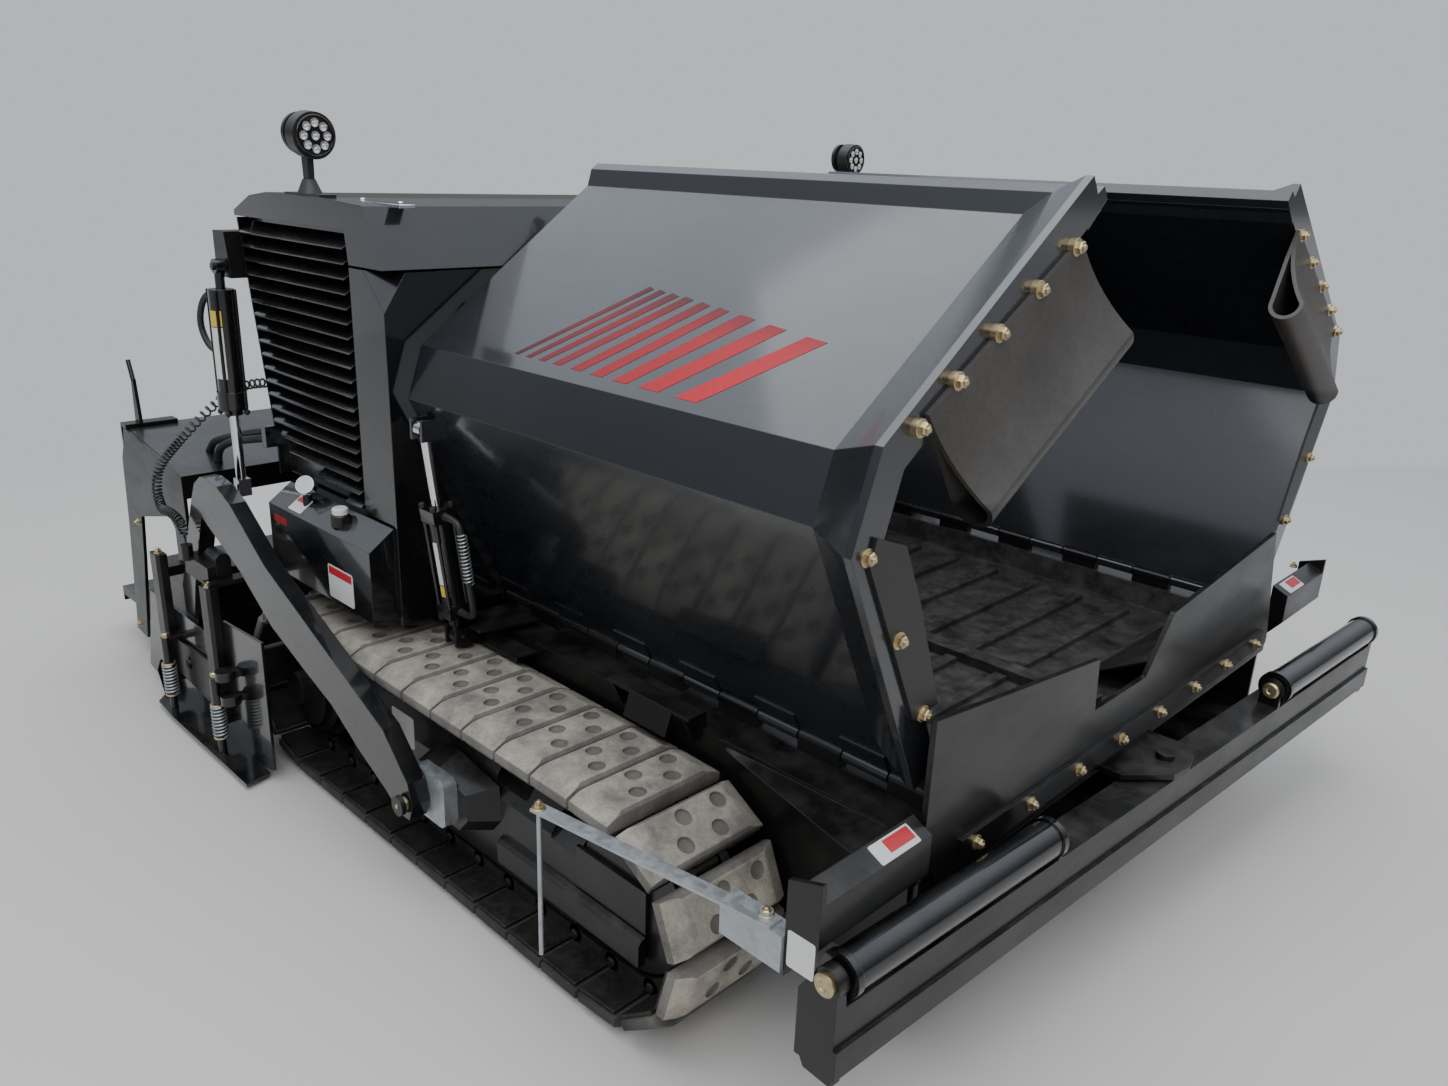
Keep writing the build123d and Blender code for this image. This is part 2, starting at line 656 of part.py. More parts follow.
def roller_cheek(low, high, tail):
    """Plate across the beam at one end of a push roller, with the round boss of its shaft."""
    if tail:
        outline = [(bumper_rear, bumper_low + 22), (bumper_rear + 22, bumper_low - tail),
                   (bumper_front, bumper_low - tail), (bumper_front, push_axis_z),
                   (bumper_rear + 20, push_axis_z - 12), (bumper_rear, bumper_high)]
    else:
        outline = [(push_axis_x - 28, bumper_high - 20), (bumper_front, bumper_high - 20), (bumper_front, push_axis_z),
                   (push_axis_x - 28, push_axis_z)]
    boss = round_bar((push_axis_x, low, push_axis_z), (push_axis_x, high, push_axis_z), 28)
    return join(side_plate(outline, low, high), boss)


def bumper_beam():
    tube = block((bumper_rear, bumper_front), (-bumper_half, bumper_half), (bumper_low, bumper_high))
    inner = block((bumper_rear + 10, bumper_front - 10), (-bumper_half - 1, bumper_half + 1),
                  (bumper_low - 1, bumper_high - 10))
    beam = tube - inner
    lip = block((bumper_front - 1, bumper_front + 7), (-bumper_half, bumper_half), (bumper_low, bumper_low + 58))
    ends = [lip]
    outer = push_outer + push_side
    inward = push_inner - push_side - push_cheek
    for sign in (-1, 1):
        for start, tail in ((outer, 16), (outer + push_cheek, 16), (inward, 0)):
            low, high = sorted((sign * start, sign * (start + push_cheek)))
            ends.append(roller_cheek(low, high, tail))
        low, high = sorted((sign * inward, sign * bumper_half))
        ends.append(round_bar((push_axis_x, low, push_axis_z), (push_axis_x, high, push_axis_z), push_shaft))
    hub = block((bumper_pin[0] - 40, bumper_pin[0] + 40), (-60, 60), (bumper_low + 40, bumper_high - 5))
    bore = round_bar((*bumper_pin, bumper_low - 10), (*bumper_pin, bumper_high + 10), 22 + pin_gap)
    return swing(join(beam, hub, *ends) - bore)


def push_roller(sign):
    low, high = sorted((sign * push_inner, sign * push_outer))
    tube = round_bar((push_axis_x, low, push_axis_z), (push_axis_x, high, push_axis_z), push_radius)
    rims = [round_bar((push_axis_x, y, push_axis_z), (push_axis_x, y + 14, push_axis_z), push_rim)
            for y in (low, high - 14)]
    bore = round_bar((push_axis_x, low - 1, push_axis_z), (push_axis_x, high + 1, push_axis_z), push_shaft + pin_gap)
    return swing(join(tube, *rims) - bore)


# ---------------------------------------------------------------- engine house
def engine_house():
    """Front bulkhead, slanted rear wall, floor over the tanks and frames of the end panels."""
    front = cross_plate([(house_y, chassis_high), (house_y, house_top - 90), (house_y - 60, house_top),
                         (60 - house_y, house_top), (-house_y, house_top - 90), (-house_y, chassis_high)],
                        bulkhead_front - plate, bulkhead_front)
    rear_x, rear_z = house_low_rear
    rear = side_plate([(house_rear, house_top + 80), (rear_x, rear_z), (rear_x, house_floor),
                       (rear_x + sheet, house_floor), (rear_x + sheet, rear_z), (house_rear + sheet, house_top + 80)],
                      -house_y + 1, house_y - 1)
    floor = block((rear_x, bulkhead_front), (-house_y + panel_set, house_y - panel_set),
                  (house_floor, house_floor + sheet))
    side = side_plate([(house_front, house_floor), (bulkhead_front, house_floor), (bulkhead_front, house_top - 90),
                       (house_front + 60, house_top), (house_front, house_top)], house_y - sheet, house_y)
    facet = loft([make_face(Polyline(*edge, close=True)) for edge in house_facet()], ruled=True)
    frame = side_plate([(house_rear, house_top + 80), (rear_x, rear_z), (rear_x, house_floor),
                        (house_front + 1, house_floor), (house_front + 1, house_top),
                        (house_front - 16, house_top + 80)],
                       house_y - panel_set, house_y - panel_set + sheet)
    bay = block((rear_x + 10, house_front - 20), (-450, 450), (house_floor - 1, house_floor + sheet + 1))
    hole = side_plate([(house_rear + 34, house_top + 60), (rear_x + 30, rear_z + 20),
                       (house_front - 30, house_floor + 60), (house_front - 30, house_top + 60)],
                      house_y - panel_set - 10, house_y)
    corner = block((house_front - 4, house_front + 1), (house_y - panel_set, house_y), (house_floor, house_top))
    foot = block((rear_x + 60, bulkhead_front), (chassis_y - plate, chassis_y), (chassis_high, house_floor))
    half = [side, facet, frame - hole, corner, foot, lid_hinge_fixed()]
    return join(front, rear, floor - bay, *half, *[other_side(piece) for piece in half], house_glands())


def house_facet():
    """Inner and outer face of the flat triangle that closes the bulkhead's upper outer corner."""
    corner = [(bulkhead_front, house_y, house_top - 90), (house_front + 60, house_y, house_top),
              (bulkhead_front, house_y - 60, house_top)]
    inward = Vector(-sheet, -sheet, -sheet / 2)
    inner = [Vector(*point) + inward for point in corner]
    return inner, [Vector(*point) for point in corner]


def louvres():
    """Slanted blades standing on the frame of one end panel."""
    blades = []
    high = house_top + 72
    low = house_floor + 40
    seat = house_y - panel_set + sheet + fit_gap
    for index in range(louvre_count):
        z = high - (high - low) * index / (louvre_count - 1)
        share = (high - z) / (high - house_low_rear[1])
        rear = house_rear + 22 + min(share, 1) * (house_low_rear[0] - house_rear)
        rear += max(0, house_low_rear[1] + 34 - z) * 4.2
        section = [(seat, z), (seat, z - 3), (house_y + 6, z - 32), (house_y + 6, z - 29)]
        blades.append(cross_plate(section, rear, house_front - 18))
    return blades


def hood_lid():
    """Crowned lid with its sloping front skirt and end plates."""
    low = house_top + 84
    crown = [(house_rear - 4, low + 14), (-600, crown_high - 12), (-500, crown_high),
             (-200, crown_high), (-10, lid_high), (66, house_top + 6)]
    inner = [(60, house_top + 6), (-15, lid_high - 7), (-200, crown_high - 7), (-500, crown_high - 7),
             (-598, crown_high - 19), (house_rear + 3, low + 9)]
    top = side_plate(crown + inner + [(house_rear + 3, low), (house_rear - 4, low)], -house_y - 2, house_y + 2)
    end = side_plate([(house_rear - 4, low)] + crown + [(house_front, house_top + 6), (house_front - 12, low)],
                     house_y - 4, house_y + 2)
    return join(top, end, other_side(end), *both(lid_hinge_moving()))


def lid_hinge_fixed():
    """Hinge rod and its two lugs on the rear wall, on one side."""
    rod = round_bar((lid_hinge_x, lid_hinge_y - 70, lid_hinge_z), (lid_hinge_x, lid_hinge_y + 70, lid_hinge_z), 8)
    outline = [(lid_hinge_x - 11, house_top + 68), (house_rear + 5, house_top + 56), (house_rear + 5, house_top + 76),
               (house_rear - 10, house_top + 78), (house_rear - 10, lid_hinge_z + 11),
               (lid_hinge_x - 11, lid_hinge_z + 11)]
    lugs = [side_plate(outline, y, y + 20) for y in (lid_hinge_y - 70, lid_hinge_y + 50)]
    return join(rod, *lugs)


def lid_hinge_moving():
    """Knuckle that carries the lid on its hinge rod, on one side."""
    tube = round_tube((lid_hinge_x, lid_hinge_y - 44, lid_hinge_z), (lid_hinge_x, lid_hinge_y + 44, lid_hinge_z),
                      15, 8 + pin_gap)
    strap = block((lid_hinge_x, house_rear - 3), (lid_hinge_y - 44, lid_hinge_y + 44),
                  (lid_hinge_z + 9, lid_hinge_z + 15))
    bore = round_bar((lid_hinge_x, lid_hinge_y - 45, lid_hinge_z), (lid_hinge_x, lid_hinge_y + 45, lid_hinge_z),
                     8 + pin_gap)
    return join(tube, strap) - bore


def engine_block():
    return block((-560, -150), (-420, 420), (chassis_low + plate, 1280))


def work_lamp():
    """Round lamp with a cooling fin behind it, on its arm and flat foot at one end of the lid."""
    foot = block((lamp_x - 90, lamp_x + 90), (lamp_y - 22, lamp_y + 22), (crown_high, crown_high + 6))
    ball = Pos(lamp_x, lamp_y, crown_high + 22) * Cone(30, 15, 34)
    arm = side_plate([(lamp_x - 12, crown_high + 36), (lamp_x + 14, crown_high + 36), (lamp_x + 16, lamp_z - 44),
                      (lamp_x - 16, lamp_z - 44)], lamp_y - 8, lamp_y + 8)
    face = lamp_x + lamp_depth
    head = round_bar((lamp_x + 6, lamp_y, lamp_z), (face, lamp_y, lamp_z - 3), lamp_radius)
    lens_seat = round_bar((face - 8, lamp_y, lamp_z - 3), (face + 1, lamp_y, lamp_z - 3), lamp_radius - 6)
    body = round_bar((lamp_x - 34, lamp_y, lamp_z + 2), (lamp_x + 7, lamp_y, lamp_z), lamp_radius - 20)
    fin = round_bar((lamp_x - 26, lamp_y, lamp_z + 2), (lamp_x - 14, lamp_y, lamp_z + 2), lamp_radius - 5)
    return join(foot, ball, arm, head - lens_seat, body, fin)


# ---------------------------------------------------------------- tanks
def side_tank():
    outline = [(chassis_y + 2, tank_low), (tank_y, tank_low), (tank_y, tank_shoulder), (tank_y - 68, tank_high),
               (chassis_y + 2, tank_high)]
    body = cross_plate(outline, tank_rear, tank_front)
    foot = block((tank_rear + 30, tank_front - 60), (chassis_y, chassis_y + 3), (tank_low + 20, tank_low + 60))
    return join(body, foot)


# ---------------------------------------------------------------- tow arms and screed
def tow_arm():
    """Side arm from the tow pin to the lift cylinder, with its strap down to the screed."""
    outline = [(tow_x + 38, tow_z + 8), (tow_x + 22, tow_z - 34), (tow_x - 22, tow_z - 36), (tow_x - 80, tow_z),
               (140, 306), (17, 375), (-132, 425), (-289, 482), (-459, 588), (-632, 662), (-690, 688),
               (-800, 450), (-840, 330), (-905, 330), (-905, 420), (-760, 704), (-716, 776), (-668, 806), (-629, 811),
               (-560, 802), (-483, 771), (-299, 649), (268, 407), (tow_x + 22, tow_z + 60)]
    arm = side_plate(outline, arm_inner_y, arm_inner_y + arm_thick)
    bore = round_bar((tow_x, arm_inner_y - 1, tow_z), (tow_x, arm_inner_y + arm_thick + 1, tow_z), tow_pin + pin_gap)
    lug = round_bar((lift_x, lift_y + 22, lift_eye_z), (lift_x, arm_inner_y + 1, lift_eye_z), 16)
    return join(arm - bore, lug)


def screed_side():
    """Left side plate: a slanted rear leg, an open window and the front column, under the deck."""
    rear, front, low = leg_foot
    edge = [(rear, low + 8), (rear + 67, 478), (rear + 90, 700), (deck_rear[0] - 22, deck_rear[1] - 60), deck_rear,
            (deck_rear[0] + 60, deck_rear[1] - 12), deck_front, (deck_front[0], screed_low + 38)]
    window = [(window_corners[-1][0], screed_low + 38), *window_corners[::-1], (front, low)]
    plate_side = side_plate(edge + window, screed_half, screed_half + plate)
    foot = block((rear + 12, screed_rear + 1), (screed_half - 60, screed_half + 1), (134, 160))
    bar = block((deck_rear[0] - 20, deck_rear[0] + 22), (screed_half - 150, screed_half + plate),
                (deck_rear[1] - 2, deck_rear[1] + 10))
    flange = block((deck_rear[0] - 26, deck_rear[0] - 18), (screed_half - 150, screed_half + plate),
                   (deck_rear[1] - 90, deck_rear[1] + 10))
    lever = side_plate([(deck_rear[0] - 12, deck_rear[1] + 9), (deck_rear[0] + 28, deck_rear[1] + 9),
                        (deck_rear[0] + 12, deck_rear[1] + 150), (deck_rear[0] - 4, deck_rear[1] + 150)],
                       screed_half - 42, screed_half - 32)
    grip = round_bar((deck_rear[0] + 4, screed_half - 37, deck_rear[1] + 142),
                     (deck_rear[0] - 22, screed_half - 37, deck_rear[1] + 205), 7)
    return join(plate_side, foot, bar, flange, lever, grip)


def screed_body():
    """Screed box with its deck, rear footboard and side plates, all hung from the tow arms."""
    shell = block((screed_rear, screed_front), (-screed_half, screed_half), (screed_low, screed_high))
    space = block((screed_rear + plate, screed_front - plate), (plate - screed_half, screed_half - plate),
                  (screed_low + plate, screed_high - plate))
    board = side_plate([(screed_front - 1, screed_low + 30), (screed_front + 14, screed_low + 90),
                        (screed_front + 6, screed_high + 60), (screed_front - 1, screed_high + 60)],
                       -screed_half, screed_half)
    deck = side_plate([deck_rear, deck_front, (deck_front[0], deck_front[1] - deck_thick),
                       (deck_rear[0], deck_rear[1] - deck_thick)], -screed_half - 1, screed_half + 1)
    front = block((deck_front[0] - 8, deck_front[0]), (-screed_half, screed_half), (deck_front[1] - 70, deck_front[1] - 2))
    walls = [block((screed_rear + 40, deck_front[0] - 60), (y, y + 8), (screed_high - 1, deck_front[1] - 4))
             for y in (-604, 596)]
    step = block((step_rear, screed_rear + 1), (-screed_half + 20, screed_half - 20), (130, 160))
    nose = block((step_rear, step_rear + 8), (-screed_half + 20, screed_half - 20), (108, 160))
    return join(shell - space, board, *both(screed_side()), deck, front, *walls, step, nose, *deck_glands())


def end_gate():
    """Gate plate with its turned-up ski, two spring jacks and two clamp rollers."""
    outer = gate_y + gate_thick
    ski = gate_y + gate_ski
    face = side_plate([(-1250, 40), (-1120, 16), (-440, 16), (-335, 40), (-332, 425), (-584, 408),
                       (-584, 330), (-1150, 330), (-1215, 139)], gate_y, outer)
    sole = flat_plate([(-1110, outer - 1), (-1035, ski - 40), (-1000, ski - 8), (-870, ski), (-345, ski),
                       (-365, outer - 1)], 14, 22)
    toe = loft([make_face(Polyline((-1110, outer - 1, 14), (-1035, ski - 40, 14), (-1035, ski - 40, 22),
                                   (-1110, outer - 1, 22), close=True)),
                make_face(Polyline((-1150, outer - 1, 84), (-1075, ski - 40, 84), (-1075, ski - 40, 92),
                                   (-1150, outer - 1, 92), close=True))], ruled=True)
    return join(face, sole, toe, *[jack(x) for x in jack_x], *[clamp_roller(x, z) for x, z in ((-520, 262), (-498, 196))])


def jack(x):
    """Spring jack that presses the ski down: tube, spring, ball and the arm that holds it to the gate."""
    tube = round_bar((x, jack_y, 175), (x, jack_y, 262), jack_radius)
    spring = round_bar((x, jack_y, 70), (x, jack_y, 176), spring_radius)
    ball = round_bar((x, jack_y, 21), (x, jack_y, 71), jack_radius - 3)
    arm = block((x - 12, x + 12), (gate_y + gate_thick - 1, jack_y), (246, 262))
    return join(tube, spring, ball, arm)


def clamp_roller(x, z):
    """Round clamp beside the front jack."""
    disc = round_bar((x, gate_y + 40, z), (x, gate_y + 40, z + 26), 27)
    neck = block((x - 14, x + 14), (gate_y + gate_thick - 1, gate_y + 40), (z + 4, z + 22))
    return join(disc, neck)


def gate_guide():
    """Two upright posts outside the end gate, the plate that ties them and the lift motor on the arm's strap."""
    inner = gate_y + gate_thick + fit_gap
    rear_x, front_x = gate_post_x
    depth = 30
    posts = []
    for x in gate_post_x:
        shape = flat_plate([(x - gate_post_half, inner), (x + gate_post_half, inner), (x + gate_post_half, inner + depth - 8),
                            (x + gate_post_half - 10, inner + depth), (x - gate_post_half, inner + depth)],
                           gate_post_low, gate_post_high)
        posts.append(shape)
    tie = side_plate([(rear_x, 126), (rear_x, 236), (front_x, 250), (front_x, 96)], inner + 2, inner + 10)
    slot = block((-858, -840), (inner, inner + 12), (166, 206))
    slot = fillet(slot.edges().filter_by(Axis.Y), 8.5)
    bolt = round_bar((-849, inner + 9, 186), (-849, inner + 18, 186), 12)
    stand = block((rear_x - 20, rear_x + 20), (screed_half + plate, inner + 1), (430, 460))
    arm = block((front_x - 175, front_x - 10), (arm_inner_y + arm_thick, inner + 8), (gate_post_high - 8, gate_post_high + 50))
    cap = block((front_x - 26, front_x + 20), (arm_inner_y - 30, inner + 20), (gate_post_high - 1, gate_post_high + 12))
    motor = block((front_x - 85, front_x - 6), (arm_inner_y + 4, arm_inner_y + arm_thick + 1), (gate_post_high - 6, gate_post_high + 84))
    motor = chamfer(motor.edges().filter_by(Axis.X), 12)
    return join(*posts, tie - slot, bolt, stand, arm, cap, motor)


def auger():
    """Half of the spreading auger, outwards from the middle chain case."""
    shaft = round_bar((auger_x, 68, auger_z), (auger_x, auger_end, auger_z), 25)
    inner = round_bar((auger_x, 67, auger_z), (auger_x, 111, auger_z), auger_pin + pin_gap)
    outer = round_bar((auger_x, auger_end - 31, auger_z), (auger_x, auger_end + 1, auger_z), auger_pin + pin_gap)
    return join(shaft, auger_flight()) - inner - outer


def auger_flight():
    """Screw flight: a ribbon of flat facets wound round the shaft."""
    sections = []
    count = round(flight_turns * flight_facets)
    for index in range(count + 1):
        turn = 2 * math.pi * index / flight_facets
        y = flight_start + (flight_end - flight_start) * index / count
        sections.append([Vector(auger_x + radius * math.cos(turn), y + side * flight_thick / 2,
                                auger_z + radius * math.sin(turn))
                         for radius, side in ((20, -1), (auger_radius, -1), (auger_radius, 1), (20, 1))])
    faces = [flat_face(sections[0]), flat_face(sections[-1])]
    for first, second in zip(sections, sections[1:]):
        for corner in range(4):
            after = (corner + 1) % 4
            faces.append(flat_face([first[corner], first[after], second[after]]))
            faces.append(flat_face([first[corner], second[after], second[corner]]))
    return Solid(Shell(faces))


def flat_face(corners):
    return Face(Wire.make_polygon(corners, close=True))


def auger_hanger():
    """Middle chain case and the end bearings of the augers, carried by the chassis."""
    case = block((auger_x - 60, chassis_rear), (-62, 62), (auger_z - 60, auger_z + 150))
    arm = block((chassis_rear - 24, chassis_rear - 12), (chassis_y - 60, auger_end + 14), (auger_z + 30, auger_z + 60))
    root = block((chassis_rear - 24, chassis_rear), (chassis_y - 60, chassis_y), (auger_z + 30, auger_z + 60))
    end = block((auger_x - 30, chassis_rear - 12), (auger_end + 4, auger_end + 14), (auger_z - 30, auger_z + 60))
    pin = round_bar((auger_x, auger_end - 30, auger_z), (auger_x, auger_end + 5, auger_z), auger_pin)
    middle = round_bar((auger_x, 61, auger_z), (auger_x, 110, auger_z), auger_pin)
    half = join(arm, root, end, pin)
    return join(case, half, other_side(half), middle, other_side(middle))


def steering_guide():
    """Open square socket behind the right front corner, with its gusset, for the guide bar."""
    inner = -corner_y + 32
    outer = -corner_y - 8
    tube = block((guide_rear, corner_end_rear), (outer, inner), (guide_low, guide_high))
    hollow = block((guide_rear - 1, corner_end_rear - 12), (outer + 4, inner - 4), (guide_low + 4, guide_high - 4))
    gusset = flat_plate([(corner_end_rear, inner - 1), (guide_rear + 60, inner - 1), (corner_end_rear, inner + 46)],
                        guide_low + 2, guide_low + 10)
    return join(tube - hollow, gusset)


def guide_bar():
    """Flat bar on top of the socket, with the rod that hangs beside the track."""
    low = guide_high + fit_gap
    bar = flat_plate([(guide_bolt_x + 25, -corner_y + 24), (guide_bolt_x + 25, -corner_y - 8), (880, -1262),
                      (876, -1232)], low, low + 6)
    drop = round_bar((890, -1248, low + 1), (890, -1248, 160), 5)
    head = round_bar((guide_bolt_x, guide_bolt_y, low + 5), (guide_bolt_x, guide_bolt_y, low + 14), 12)
    return join(bar, drop, head)


def lift_hose():
    """Hose loop between the two ports of the lift cylinder's barrel."""
    start, end = [(lift_x - lift_barrel_radius - lift_port - 2 * fit_gap, lift_y, lift_top_z - drop)
                  for drop in lift_port_drops]
    points = [start, (start[0] - 38, lift_y, start[2] + 1), (start[0] - 72, lift_y + 10, start[2] - 34),
              (start[0] - 88, lift_y + 14, start[2] - 90), (start[0] - 66, lift_y + 8, end[2] + 20),
              (start[0] - 34, lift_y, end[2] + 1), end]
    return hose(points, 9)[0]


def coiled_cord():
    """Outer shape of the curly control cable, from its gland on the house to the lift motor's socket."""
    solid, length, radii = hose([(x, -y, z) for x, y, z in cord_route], cord_radius)
    print("coiled cord length", round(length), "least radius", round(min(radii)),
          "volume ratio", round(solid.volume / (math.pi * cord_radius ** 2 * length), 3))
    return solid


def cord_gland(route, radius, length):
    """Round gland in line with the first run of a cable or hose on the right side."""
    start, after = [Vector(x, -y, z) for x, y, z in route[:2]]
    return round_bar(tuple(start - (after - start).normalized() * length), tuple(start), radius + 1)


def house_glands():
    """Glands on the rear wall for the curly cable and the pair of hoses, and the hoses' bracket."""
    bracket = block((-595, -570), (-1083, -1020), (884, 942))
    pair = [cord_gland(route, pair_radius, 26) for route in (pair_upper, pair_lower)]
    return join(cord_gland(cord_route, cord_radius, 26), bracket, *pair)


def deck_glands():
    """Glands in the deck for the lower ends of the pair of hoses."""
    return [cord_gland(route[::-1], pair_radius, 18) for route in (pair_upper, pair_lower)]


def pair_hose(route):
    solid, length, radii = hose([(x, -y, z) for x, y, z in route], pair_radius)
    print("pair hose length", round(length), "least radius", round(min(radii)),
          "volume ratio", round(solid.volume / (math.pi * pair_radius ** 2 * length), 3))
    return solid


def cord_socket():
    """Socket of the curly cable on the lift motor's bracket."""
    x, y, z = cord_route[-1]
    return round_bar((x, -y, gate_post_high + 40), (x, -y, z), cord_radius + 1)


def hose(points, radius):
    """Straight runs joined by tangent arcs as large as the runs allow."""
    corners = [Vector(*point) for point in points]
    radii = []
    for before, here, after in zip(corners, corners[1:], corners[2:]):
        turn = (here - before).get_angle(after - here)
        shorter = min((here - before).length, (after - here).length)
        radii.append(0.45 * shorter / math.tan(math.radians(turn) / 2))
    path = FilletPolyline(*points, radius=radii)
    start = Plane(origin=path @ 0, z_dir=path % 0)
    return sweep(start * Circle(radius), path=path), path.length, radii


def lift_cylinder():
    """Barrel with its end caps, top clevis eye and the two hose ports."""
    top = lift_top_z
    eye = round_bar((lift_x, lift_y - eye_half, top), (lift_x, lift_y + eye_half, top), eye_radius)
    barrel = round_bar((lift_x, lift_y, top - 60), (lift_x, lift_y, top - lift_barrel_length), lift_barrel_radius)
    neck = round_bar((lift_x, lift_y, top - 10), (lift_x, lift_y, top - 61), 13)
    gland = round_bar((lift_x, lift_y, top - lift_barrel_length + 52), (lift_x, lift_y, top - lift_barrel_length + 4),
                      lift_barrel_radius + 5)
    nut = round_bar((lift_x, lift_y, top - lift_barrel_length), (lift_x, lift_y, top - lift_barrel_length - 14),
                    lift_barrel_radius - 9)
    bore = round_bar((lift_x, lift_y - 40, top), (lift_x, lift_y + 40, top), 10 + pin_gap)
    inside = round_bar((lift_x, lift_y, top - 100), (lift_x, lift_y, top - lift_barrel_length - 15),
                       lift_rod_radius + pin_gap)
    ports = [round_bar((lift_x, lift_y, top - drop), (lift_x - lift_barrel_radius - lift_port, lift_y, top - drop), 12)
             for drop in lift_port_drops]
    return join(eye, barrel, neck, gland, nut, *ports) - bore - inside


def lift_rod():
    rod = round_bar((lift_x, lift_y, lift_top_z - 290), (lift_x, lift_y, lift_eye_z + 30), lift_rod_radius)
    fork = block((lift_x - 18, lift_x + 18), (lift_y - 20, lift_y + 15), (lift_eye_z - 18, lift_eye_z + 31))
    return join(rod, fork)


def lift_bracket():
    outline = [(lift_x - 60, lift_top_z - 30), (lift_x - 60, lift_top_z + 90), (house_rear + 10, lift_top_z + 90),
               (house_rear + 34, lift_top_z - 30)]
    cheek = side_plate(outline, house_y, lift_y - eye_half - 5)
    root = side_plate(outline, house_y - 30, house_y)
    wall = side_plate([(house_rear, house_top + 80), house_low_rear, (0, house_low_rear[1]), (0, house_top + 80)],
                      0, house_y - 1 + fit_gap)
    pin = round_bar((lift_x, house_y, lift_top_z), (lift_x, lift_y + eye_half + 6, lift_top_z), 10)
    return join(cheek, root - wall, pin)


def along_wing_cylinder(distance):
    run = math.hypot(wingcyl_high[0] - wingcyl_low[0], wingcyl_high[1] - wingcyl_low[1])
    share = distance / run
    return (wingcyl_x, wingcyl_low[0] + share * (wingcyl_high[0] - wingcyl_low[0]),
            wingcyl_low[1] + share * (wingcyl_high[1] - wingcyl_low[1]))


def across_wing_cylinder(distance, along_x, across):
    """Point beside the wing cylinder's axis: distance up it, then along x and square to both."""
    x, y, z = along_wing_cylinder(distance)
    rise = (wingcyl_high[0] - wingcyl_low[0], wingcyl_high[1] - wingcyl_low[1])
    run = math.hypot(*rise)
    return (x + along_x, y + across * rise[1] / run, z - across * rise[0] / run)


def wing_barrel():
    """Tie-rod cylinder: square caps, four rods, barrel, ports and the lower eye."""
    eye = round_bar((wingcyl_x - eye_half, *wingcyl_low), (wingcyl_x + eye_half, *wingcyl_low), eye_radius)
    neck = round_bar(along_wing_cylinder(10), along_wing_cylinder(61), 12)
    barrel = round_bar(along_wing_cylinder(60), along_wing_cylinder(wingcyl_barrel), wingcyl_radius - 4)
    caps = [square_cap(low, low + cap_depth) for low in (58, wingcyl_barrel - cap_depth)]
    rods = [round_bar(across_wing_cylinder(60, x, y), across_wing_cylinder(wingcyl_barrel + 2, x, y), 5)
            for x in (-tie_half, tie_half) for y in (-tie_half, tie_half)]
    bore = round_bar((wingcyl_x - 40, *wingcyl_low), (wingcyl_x + 40, *wingcyl_low), 10 + pin_gap)
    inside = round_bar(along_wing_cylinder(80), along_wing_cylinder(wingcyl_barrel + 1), wingcyl_rod + pin_gap)
    return join(eye, neck, barrel, *caps, *rods) - bore - inside


def square_cap(low, high):
    """Square end cap of the wing cylinder between two distances up its axis."""
    start = Plane(origin=along_wing_cylinder(low), x_dir=(1, 0, 0),
                  z_dir=Vector(*along_wing_cylinder(high)) - Vector(*along_wing_cylinder(low)))
    return extrude(start * Rectangle(2 * wingcyl_radius, 2 * wingcyl_radius), amount=high - low)


def wing_rod():
    run = math.hypot(wingcyl_high[0] - wingcyl_low[0], wingcyl_high[1] - wingcyl_low[1])
    rod = round_bar(along_wing_cylinder(230), along_wing_cylinder(run - 10), wingcyl_rod)
    eye = round_bar((wingcyl_x - eye_half, *wingcyl_high), (wingcyl_x + eye_half, *wingcyl_high), eye_radius)
    return join(rod, eye)


def right_too(pieces):
    """The pieces of one side and their mirror images."""
    return list(pieces) + [other_side(piece) for piece in pieces]


save("chassis_frame", chassis_frame())
save("running_wheels", *right_too(running_wheels()))
save("roller_frames", *right_too([roller_frame()]))
save("tow_blocks", *right_too([tow_block()]))
save("wing_hinges", *right_too([wing_hinge()]))
save("hopper_floor", hopper_floor())
save("conveyor", *conveyor())
save("hopper_back", hopper_back())
save("front_apron", front_apron())
save("bumper_beam", bumper_beam())
save("push_roller_left", push_roller(1))
save("push_roller_right", push_roller(-1))
save("engine_house", engine_house())
save("louvres", *right_too(louvres()))
save("hood_lid", hood_lid())
save("work_lamps", *right_too([work_lamp()]))
save("engine", engine_block())
save("side_tanks", *right_too([side_tank()]))
save("tow_arms", *right_too([tow_arm()]))
save("screed_body", screed_body())
save("gate_guides", gate_guide(), join(other_side(gate_guide()), cord_socket()))
save("coiled_cord", coiled_cord())
save("screed_hose_upper", pair_hose(pair_upper))
save("screed_hose_lower", pair_hose(pair_lower))
save("lift_brackets", *right_too([lift_bracket()]))
save("auger_hanger", auger_hanger())
save("steering_guide", steering_guide())
save("guide_bar", guide_bar())
for name, place in (("left", lambda shape: shape), ("right", other_side)):
    save(f"track_{name}", place(track()))
    save(f"wing_{name}", place(wing()))
    save(f"wing_flaps_{name}", place(upper_flap()), place(lower_flap()))
    save(f"wing_barrel_{name}", place(wing_barrel()))
    save(f"wing_rod_{name}", place(wing_rod()))
    save(f"end_gate_{name}", place(end_gate()))
    save(f"lift_barrel_{name}", place(lift_cylinder()))
    save(f"lift_hose_{name}", place(lift_hose()))
    save(f"lift_rod_{name}", place(lift_rod()))
    save(f"auger_{name}", place(auger()))
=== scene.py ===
import math
import random

import bmesh
import bpy
from mathutils import Matrix, Vector


